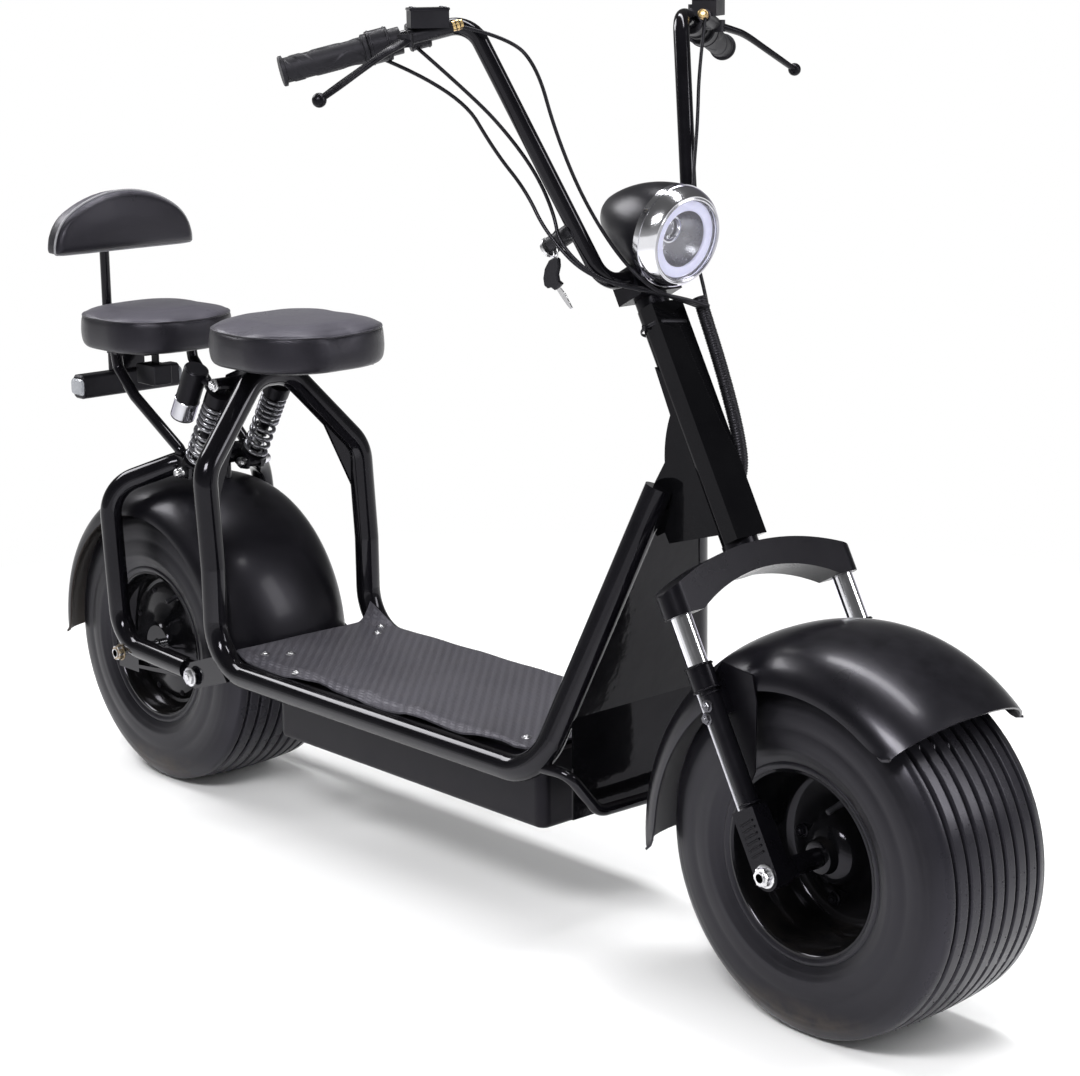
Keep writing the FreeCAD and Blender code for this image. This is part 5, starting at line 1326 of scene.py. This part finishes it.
def makeShockTrim():
    steel, black, heads, nuts = [], [], [], []
    for sign in (-1, 1):
        outwards = sideways * sign
        low, high = shockEnds(0)
        along = (high - low).normalized()
        lowEye, highEye = (end + sideways * shockLook["side"] * sign / 1000 for end in (low, high))
        for start, radius, length, pile in ((shockLook["eyeHalf"], 9.5, 5, black), (22, 7.4, 2, steel)):
            disc = [(0, 0.0), (0, radius), (length, radius), (length, 0.0)]
            pile.append(turnedMesh(disc, aimed(lowEye + outwards * start / 1000, outwards), 24, False))
        steel.append(turnedMesh(sleeveRows["dome"], aimed(lowEye, outwards), 24, False))
        steel.append(turnedMesh(sleeveRows["inner"], aimed(lowEye, -outwards), 24, False))
        steel.append(turnedMesh(sleeveRows["stem"], aimed(lowEye, along), 32))
        for pile, way in ((heads, outwards), (nuts, -outwards)):
            pile.append((highEye + way * shockLook["eyeHalf"] / 1000, way))
    tankTop, tankLow = spot(114, -75, 688), spot(70, -76, 608)
    tank = aimed(tankLow, tankTop - tankLow)
    length = (tankTop - tankLow).length * 1000
    cap = [(length - 26, 18), (length - 26, 19.8), (length - 2, 19.8), (length + 0.6, 17.5), (length + 0.6, 0.0),
           (length - 5, 0.0)]
    sleeve = turnedMesh(sleeveRows["tank"], tank, 64, False)
    fitted("tankSleeve", [sleeve], "darkChrome", "frame", "zinc_steel")
    fitted("tankCap", [turnedMesh(cap, tank, 64, False)], "castPaint", "frame", "black_plastic")
    fitted("shockSleeves", steel, "zincSteel", "frame", "zinc_steel")
    fitted("shockBushes", black, "gripRubber", "frame", "black_plastic")
    scattered("shockHeads", heads + nuts, hexShape(8, 6, 10.5, 4.5, 8), "zincSteel", "frame")


makeShockTrim()
nutPair("rearAxleNuts", rearAxle, sideways * 0.166, hexShape(12.4, 9.2, 13, 7, 11), "agedBrass", "frame")
nutPair("pivotNuts", spot(203, 0, 231), sideways * 172 / 1000, hexShape(12.4, 6, 15, 6, 8), "zincSteel", "frame")
print("shock and axle trim made")

# Handlebar trim: brass hose ends, tank lids, screws, switch and the key
fobOutline = [(988, 938), (994, 936), (995, 927), (992, 916), (994, 907), (1000, 904), (994, 899), (986, 895),
              (979, 898), (973, 896), (967, 899), (965, 908), (968, 921), (976, 932)]
bladeOutline = [(989, 896), (996, 899), (1005, 892), (1010, 885), (1018, 875), (1015, 873), (1008, 878), (998, 887)]
headOutline = [(969, 950), (970, 959), (981, 970), (1000, 976), (1015, 973), (1016, 964), (1005, 960), (986, 951),
               (974, 947)]


# Hose end, along and radius: three collars with grooves between them, and the stem.
hoseEnd = [(0, 0.0), (0, 6.6), (3.4, 6.6), (3.8, 5.2), (4.4, 5.2), (4.8, 6.8), (8.4, 6.8), (8.8, 5.4), (9.6, 5.4),
           (10, 6.4), (13, 6.2), (14, 4.6), (14, 0.0)]
lockBezel = [(8, 0.0), (8, 12.6), (10, 13.4), (12.5, 13.4), (13.4, 12), (13.4, 5), (11.5, 4.4), (11.5, 0.0)]
# Columns: inwards from the bar's end, radius, wire.
barRings = [(gripLook["length"] + 3.3, 20.6, 1.4), (gripLook["length"] + 24.3, 20.6, 1.4), (162, 16.6, 1.3),
            (184, 16.6, 1.3)]


def makeBarTrim():
    brass, lids, screws, rings = [], [], [], []
    lidThick = 3.6
    for sign in (-1, 1):
        hoseStart = alongBar(213, 26, 2, sign)
        matrix = aimed(hoseStart, alongBar(226, 26, 2, sign) - hoseStart)
        brass.append(turnedMesh(hoseEnd, matrix, 24, False))
        lidMiddle = alongBar(182, 24, 29, sign)
        way = (alongBar(200, 24, 29, sign) - lidMiddle).normalized()
        flat = Vector((way.x, way.y, 0)).normalized()
        across = skyward.cross(flat)
        lid = axes(lidMiddle, skyward, flat, across)
        lids.append(slabMesh(roundedOutline(25.5, 18.5, 4, 32), lid, lidThick, 1.0))
        for ahead in (-19, 19):
            for side in (-13, 13):
                screws.append((lidMiddle + (flat * ahead + across * side + skyward * lidThick) / 1000, skyward))
        for inwards, radius, wire in barRings:
            start = alongBar(inwards, sign=sign)
            rings.append(ringMesh(start, alongBar(inwards + 9, sign=sign) - start, radius, wire))
    fitted("hoseEnds", brass, "brassFitting", "steering", "zinc_steel")
    fitted("tankLids", lids, "podPlastic", "steering", "black_plastic")
    fitted("barRings", rings, "mouldedPlastic", "steering", "black_plastic")
    scattered("lidScrews", screws, screwShape(2.6, 1.2), "springSteel", "steering", seed=5)

    def keySlab(outline, y, thick, soften):
        plane = axes((0, y / 1000, 0), -sideways, Vector((1, 0, 0)), skyward)
        return slabMesh([(x - axleBack, z) for x, z in outline], plane, thick, soften)

    fobs = [keySlab(fobOutline, -113, 6, 1.6), keySlab(headOutline, -107, 6, 1.6)]
    fitted("keyFobs", fobs, "mouldedPlastic", "steering", "black_plastic")
    fitted("keyBlade", [keySlab(bladeOutline, -115, 1.8, 0.3)], "zincSteel", "steering", "zinc_steel")
    ring = ringMesh(spot(985, -114, 942.5), Vector((0.5, 1, 0)), 9.5, 0.8, 40, 8)
    fitted("keyRing", [ring], "zincSteel", "steering", "zinc_steel")
    bezel = turnedMesh(lockBezel, aimed(forkSpot(-35, -104, 840), -aheadFork), 40, False)
    fitted("lockBezel", [bezel], "zincSteel", "steering", "zinc_steel")


makeBarTrim()
print("bar trim made")

# Zip tie round the head cover, square in front and round behind, with its locking head
tieLook = {"front": 25.4, "back": 27, "side": 28, "squareAhead": 0.4, "squareAside": 0.3, "lag": 8, "up": 700,
           "slope": 0.12, "band": (0.7, 2.4), "head": [(-3.4, -3), (3.4, -3), (3.4, 3), (-3.4, 3)]}


def makeTie():
    look = tieLook
    loop = []
    for angle in turnAngles(48):
        ahead, side = look["back"] * math.cos(angle), look["side"] * math.sin(angle)
        if math.cos(angle) > 0:
            ahead = look["front"] * math.cos(angle) ** look["squareAhead"]
            side = look["side"] * math.copysign(abs(math.sin(angle)) ** look["squareAside"], math.sin(angle))
        loop.append(forkSpot(ahead - look["lag"], side, look["up"] - look["slope"] * side))
    band = sweptMesh(loop, [look["band"]], 8, True, -sideways)
    head = slabMesh(look["head"], aimed(forkSpot(-6, -28.4, 703.4), -sideways), 5, 0.6)
    fitted("coverTie", [band, head], "mouldedPlastic", "frame", "black_plastic", sharpAngle=50)


makeTie()


# Tail lamp: red face, milky ends, and the relay box ahead of it
# The bar starts half its length to one side, given in metres.
tailLook = {"long": 191, "start": 0.0955, "faceBack": 18.8, "endSide": 92.5}


def makeLampTrim():
    look = tailLook
    middle = spot(-200, 0, 624)
    bar = slabMesh([(z, y) for y, z in roundedOutline(19.5, 15, 7, 48)],
                   aimed(middle - sideways * look["start"], sideways), look["long"], 3)
    fitted("tailLampBar", [bar], "mouldedPlastic", "frame", "black_plastic", "tail_lamps")
    rearward = Vector((-1, 0, 0))
    face = aimed(middle + rearward * look["faceBack"] / 1000, rearward)
    fitted("tailLens", [slabMesh(roundedOutline(84, 9, 4, 40), face, 2.6, 1.0)], "redLens", "frame", "lens")
    ends = []
    for sign in (-1, 1):
        cap = aimed(middle + sideways * sign * look["endSide"] / 1000, sideways * sign)
        ends.append(slabMesh(roundedOutline(18, 13.4, 7, 40), cap, 6, 2.6))
    fitted("tailLampEnds", ends, "milkyLens", "frame", "lens")
    box = aimed(spot(-66, -18, 655), -sideways)
    relay = slabMesh([(z, y) for y, z in roundedOutline(16, 26, 3, 24)], box, 34, 1.5)
    hanger = slabMesh([(-9, 10), (9, 10), (9, 37), (-9, 37)], aimed(spot(-66, -30, 655), -sideways), 3, 0.4)
    fitted("relayBox", [relay, hanger], "mouldedPlastic", "frame", "black_plastic")


makeLampTrim()

# Deck mat: a woven vinyl sheet with a wavy near edge that laps over the rail. Clear is its gap to what it lies on.
matLook = {"back": 268, "front": 947, "far": 131, "deckNear": 127, "railFrom": 129, "deckTop": 274,
           "railTop": 269.4, "sheet": 3, "clear": 0.4, "stepsLong": 170, "stepsWide": 72}
# Columns: share of the length, reach past the deck's near edge.
nearEdge = [(0.0, 6), (0.06, 15), (0.12, 19), (0.2, 21), (0.27, 16), (0.33, 9), (0.4, 14), (0.48, 20), (0.56, 21),
            (0.63, 15), (0.7, 10), (0.78, 14), (0.86, 10), (0.93, 5), (1.0, 1)]


def between(rows, at):
    for (startAt, startValue), (endAt, endValue) in zip(rows, rows[1:]):
        if at <= endAt:
            share = (at - startAt) / (endAt - startAt)
            share = share * share * (3 - 2 * share)
            return startValue + (endValue - startValue) * share
    return rows[-1][1]


def matHeight(look, x, y, alongShare, past):
    rise = 0.9 * math.sin(x / 47) * math.sin(y / 60 + 1.2) + 0.5 * math.sin(x / 19 + y / 31)
    edge = max(0.0, min(1.0, (-y - 96) / 32))
    ripple = (1.6 + 2.4 * edge) * edge * math.sin(alongShare * 31 + 0.8 * math.sin(alongShare * 12))
    sunk = max(0.0, past) * 0.42
    curl = max(0.0, (y - 104) / 27) ** 2 * max(0.0, 1 - alongShare / 0.09) * 30
    return look["deckTop"] + 4.4 + rise + max(ripple, -1.2) - sunk + curl


def makeMat():
    look = matLook
    columns, rows = look["stepsWide"] + 1, look["stepsLong"] + 1
    verts = []
    for layer in (0, 1):
        for i in range(rows):
            alongShare = i / look["stepsLong"]
            x = look["back"] + (look["front"] - look["back"]) * alongShare
            nearReach = look["deckNear"] + between(nearEdge, alongShare)
            for j in range(columns):
                y = -nearReach + (look["far"] + nearReach) * (j / look["stepsWide"])
                z = matHeight(look, x, y, alongShare, -y - look["deckNear"])
                floor = look["deckTop"] + look["clear"] if y > -look["railFrom"] else look["railTop"]
                z = max(z, floor + look["sheet"])
                verts.append(spot(x, y, z - look["sheet"] * layer))
    per = columns * rows
    faces = []
    for quad in gridFaces(rows, columns, False, False):
        faces += [quad, tuple(index + per for index in reversed(quad))]
    edges = [(i * columns + j, columns) for i in range(rows - 1) for j in (0, columns - 1)]
    edges += [(i * columns + j, 1) for j in range(columns - 1) for i in (0, rows - 1)]
    faces += [(start, start + step, start + step + per, start + per) for start, step in edges]
    mat = fitted("wovenMat", [(verts, faces)], "matVinyl", "frame", "deck_rubber", "deck_mat", sharpAngle=50)
    return BVHTree.FromObject(mat, bpy.context.evaluated_depsgraph_get())


matTree = makeMat()
matScrews = [(318, -112), (345, -84), (318, 112), (345, 84), (905, -104), (905, 104), (430, -137)]
matSpots = [(matTree.ray_cast(spot(x, y, 400), -skyward)[0], skyward) for x, y in matScrews]
scattered("matScrews", matSpots, screwShape(5, 3.0, 7.5), "zincSteel", "frame", seed=3)
# The valve's place round the wheel, in radians, its distances from the axle and its lean towards the axle.
valveLook = {"angle": 1, "radius": 0.108, "side": -0.088, "lean": 0.5,
             "rows": [(-6, 0.0), (-6, 5.2), (4, 4.2), (16, 3.4), (17, 4), (24, 4), (25, 3), (25, 0.0)]}
valveSpoke = Vector((math.cos(valveLook["angle"]), 0, math.sin(valveLook["angle"])))
valveFoot = valveSpoke * valveLook["radius"] + sideways * valveLook["side"]
for body, axleSpot, name in (("front_wheel", frontAxle, "frontValve"), ("rear_wheel", rearAxle, "rearValve")):
    stem = aimed(axleSpot + valveFoot, -sideways - valveSpoke * valveLook["lean"])
    fitted(name, [turnedMesh(valveLook["rows"], stem, 24, False)], "gripRubber", body, "rim_paint")
print("fasteners made")


# Stage, light and camera
stageLook = {"floorColour": (0.96, 0.96, 0.965), "reach": 30, "keepShadowTo": 1.0, "whiteFrom": 2.2,
             "worldDiffuse": 0.42, "horizon": 0.35, "zenith": 0.1}


# Joins two shaders by a share and leads them to an output.
def blended(tree, share, first, second, output):
    blend = tree.nodes.new("ShaderNodeMixShader")
    for start, end in zip((share, first, second), blend.inputs):
        tree.links.new(start, end)
    tree.links.new(blend.outputs[0], tree.nodes[output].inputs["Surface"])


def makeStage():
    reach = stageLook["reach"]
    corners = [(-reach, -reach, 0), (reach, -reach, 0), (reach, reach, 0), (-reach, reach, 0)]
    floor = newObject("studioFloor", newMesh("studioFloor", corners, [(0, 1, 2, 3)]))
    material = bpy.data.materials.new("studioFloor")
    material.use_nodes = True
    tree = material.node_tree
    shader = tree.nodes["Principled BSDF"]
    shader.inputs["Base Color"].default_value = (*stageLook["floorColour"], 1)
    shader.inputs["Roughness"].default_value = 0.9
    shader.inputs["Specular IOR Level"].default_value = 0.1
    glow = tree.nodes.new("ShaderNodeEmission")
    place = split(tree, objectCoords(tree))
    distance = mathNode(tree, "SQRT", mathNode(tree, "ADD", mathNode(tree, "POWER", place["X"], 2),
                                               mathNode(tree, "POWER", place["Y"], 2)))
    share = ranged(tree, distance, stageLook["keepShadowTo"], stageLook["whiteFrom"])
    blended(tree, share, shader.outputs[0], glow.outputs[0], "Material Output")
    floor.data.materials.append(material)

    world = bpy.data.worlds.new("studio")
    bpy.context.scene.world = world
    world.use_nodes = True
    tree = world.node_tree
    soft = tree.nodes["Background"]
    soft.inputs["Color"].default_value = (1, 1, 1, 1)
    soft.inputs["Strength"].default_value = stageLook["worldDiffuse"]
    seen = tree.nodes.new("ShaderNodeBackground")
    seen.inputs["Color"].default_value = (1, 1, 1, 1)
    rays = tree.nodes.new("ShaderNodeLightPath")
    # Reflections see a dark studio above a bright horizon, the camera only white.
    height = split(tree, tree.nodes.new("ShaderNodeTexCoord").outputs["Generated"])["Z"]
    mirrored = ranged(tree, height, 0.02, 0.32, stageLook["horizon"], stageLook["zenith"])
    level = mathNode(tree, "MAXIMUM", mirrored, rays.outputs["Is Camera Ray"])
    level = mathNode(tree, "MAXIMUM", level, rays.outputs["Is Transmission Ray"])
    tree.links.new(level, seen.inputs["Strength"])
    direct = mathNode(tree, "MAXIMUM", rays.outputs["Is Camera Ray"], rays.outputs["Is Glossy Ray"])
    direct = mathNode(tree, "MAXIMUM", direct, rays.outputs["Is Transmission Ray"])
    blended(tree, direct, soft.outputs[0], seen.outputs[0], "World Output")


lampRows = {
    "keyLight": {"at": (1.5, -2.4, 2.7), "to": (0, 0, 0.4), "size": (1.4, 0.7), "watts": 95},
    "topLight": {"at": (0.1, 0.5, 3.3), "to": (0.1, 0.1, 0.4), "size": (3.2, 0.4), "watts": 80},
    "backLight": {"at": (-2.3, -0.6, 2.4), "to": (-0.3, 0, 0.5), "size": (1.2, 1.2), "watts": 55},
    "frontLight": {"at": (2.6, 1.6, 1.9), "to": (0.3, 0, 0.5), "size": (0.7, 1.8), "watts": 36},
}


def makeLights():
    for name, row in lampRows.items():
        light = bpy.data.lights.new(name, "AREA")
        light.shape = "RECTANGLE"
        light.size, light.size_y = row["size"]
        light.energy = row["watts"]
        lamp = newObject(name, light)
        lamp.location = row["at"]
        lamp.rotation_euler = (Vector(row["to"]) - Vector(row["at"])).to_track_quat("-Z", "Y").to_euler()


cameraLook = {"at": (2.7261, -2.3142, 1.3389), "yaw": 138.13, "pitch": 13.16, "roll": -0.73, "lens": 86.05,
              "shiftX": -0.00185, "shiftY": -0.0022}


def makeCamera():
    yaw, pitch, roll = (math.radians(cameraLook[key]) for key in ("yaw", "pitch", "roll"))
    ahead = Vector((math.cos(pitch) * math.cos(yaw), math.cos(pitch) * math.sin(yaw), -math.sin(pitch)))
    right = Vector((math.sin(yaw), -math.cos(yaw), 0))
    above = right.cross(ahead)
    across = right * math.cos(roll) + above * math.sin(roll)
    upwards = above * math.cos(roll) - right * math.sin(roll)
    lens = bpy.data.cameras.new("photoCamera")
    lens.lens = cameraLook["lens"]
    lens.sensor_width = 36
    lens.sensor_fit = "HORIZONTAL"
    lens.shift_x = cameraLook["shiftX"]
    lens.shift_y = cameraLook["shiftY"]
    camera = newObject("photoCamera", lens)
    camera.matrix_world = axes(Vector(cameraLook["at"]), across, upwards, -ahead)
    bpy.context.scene.camera = camera


makeStage()
makeLights()
makeCamera()
bpy.context.scene.view_settings.view_transform = "Standard"
print("stage ready")
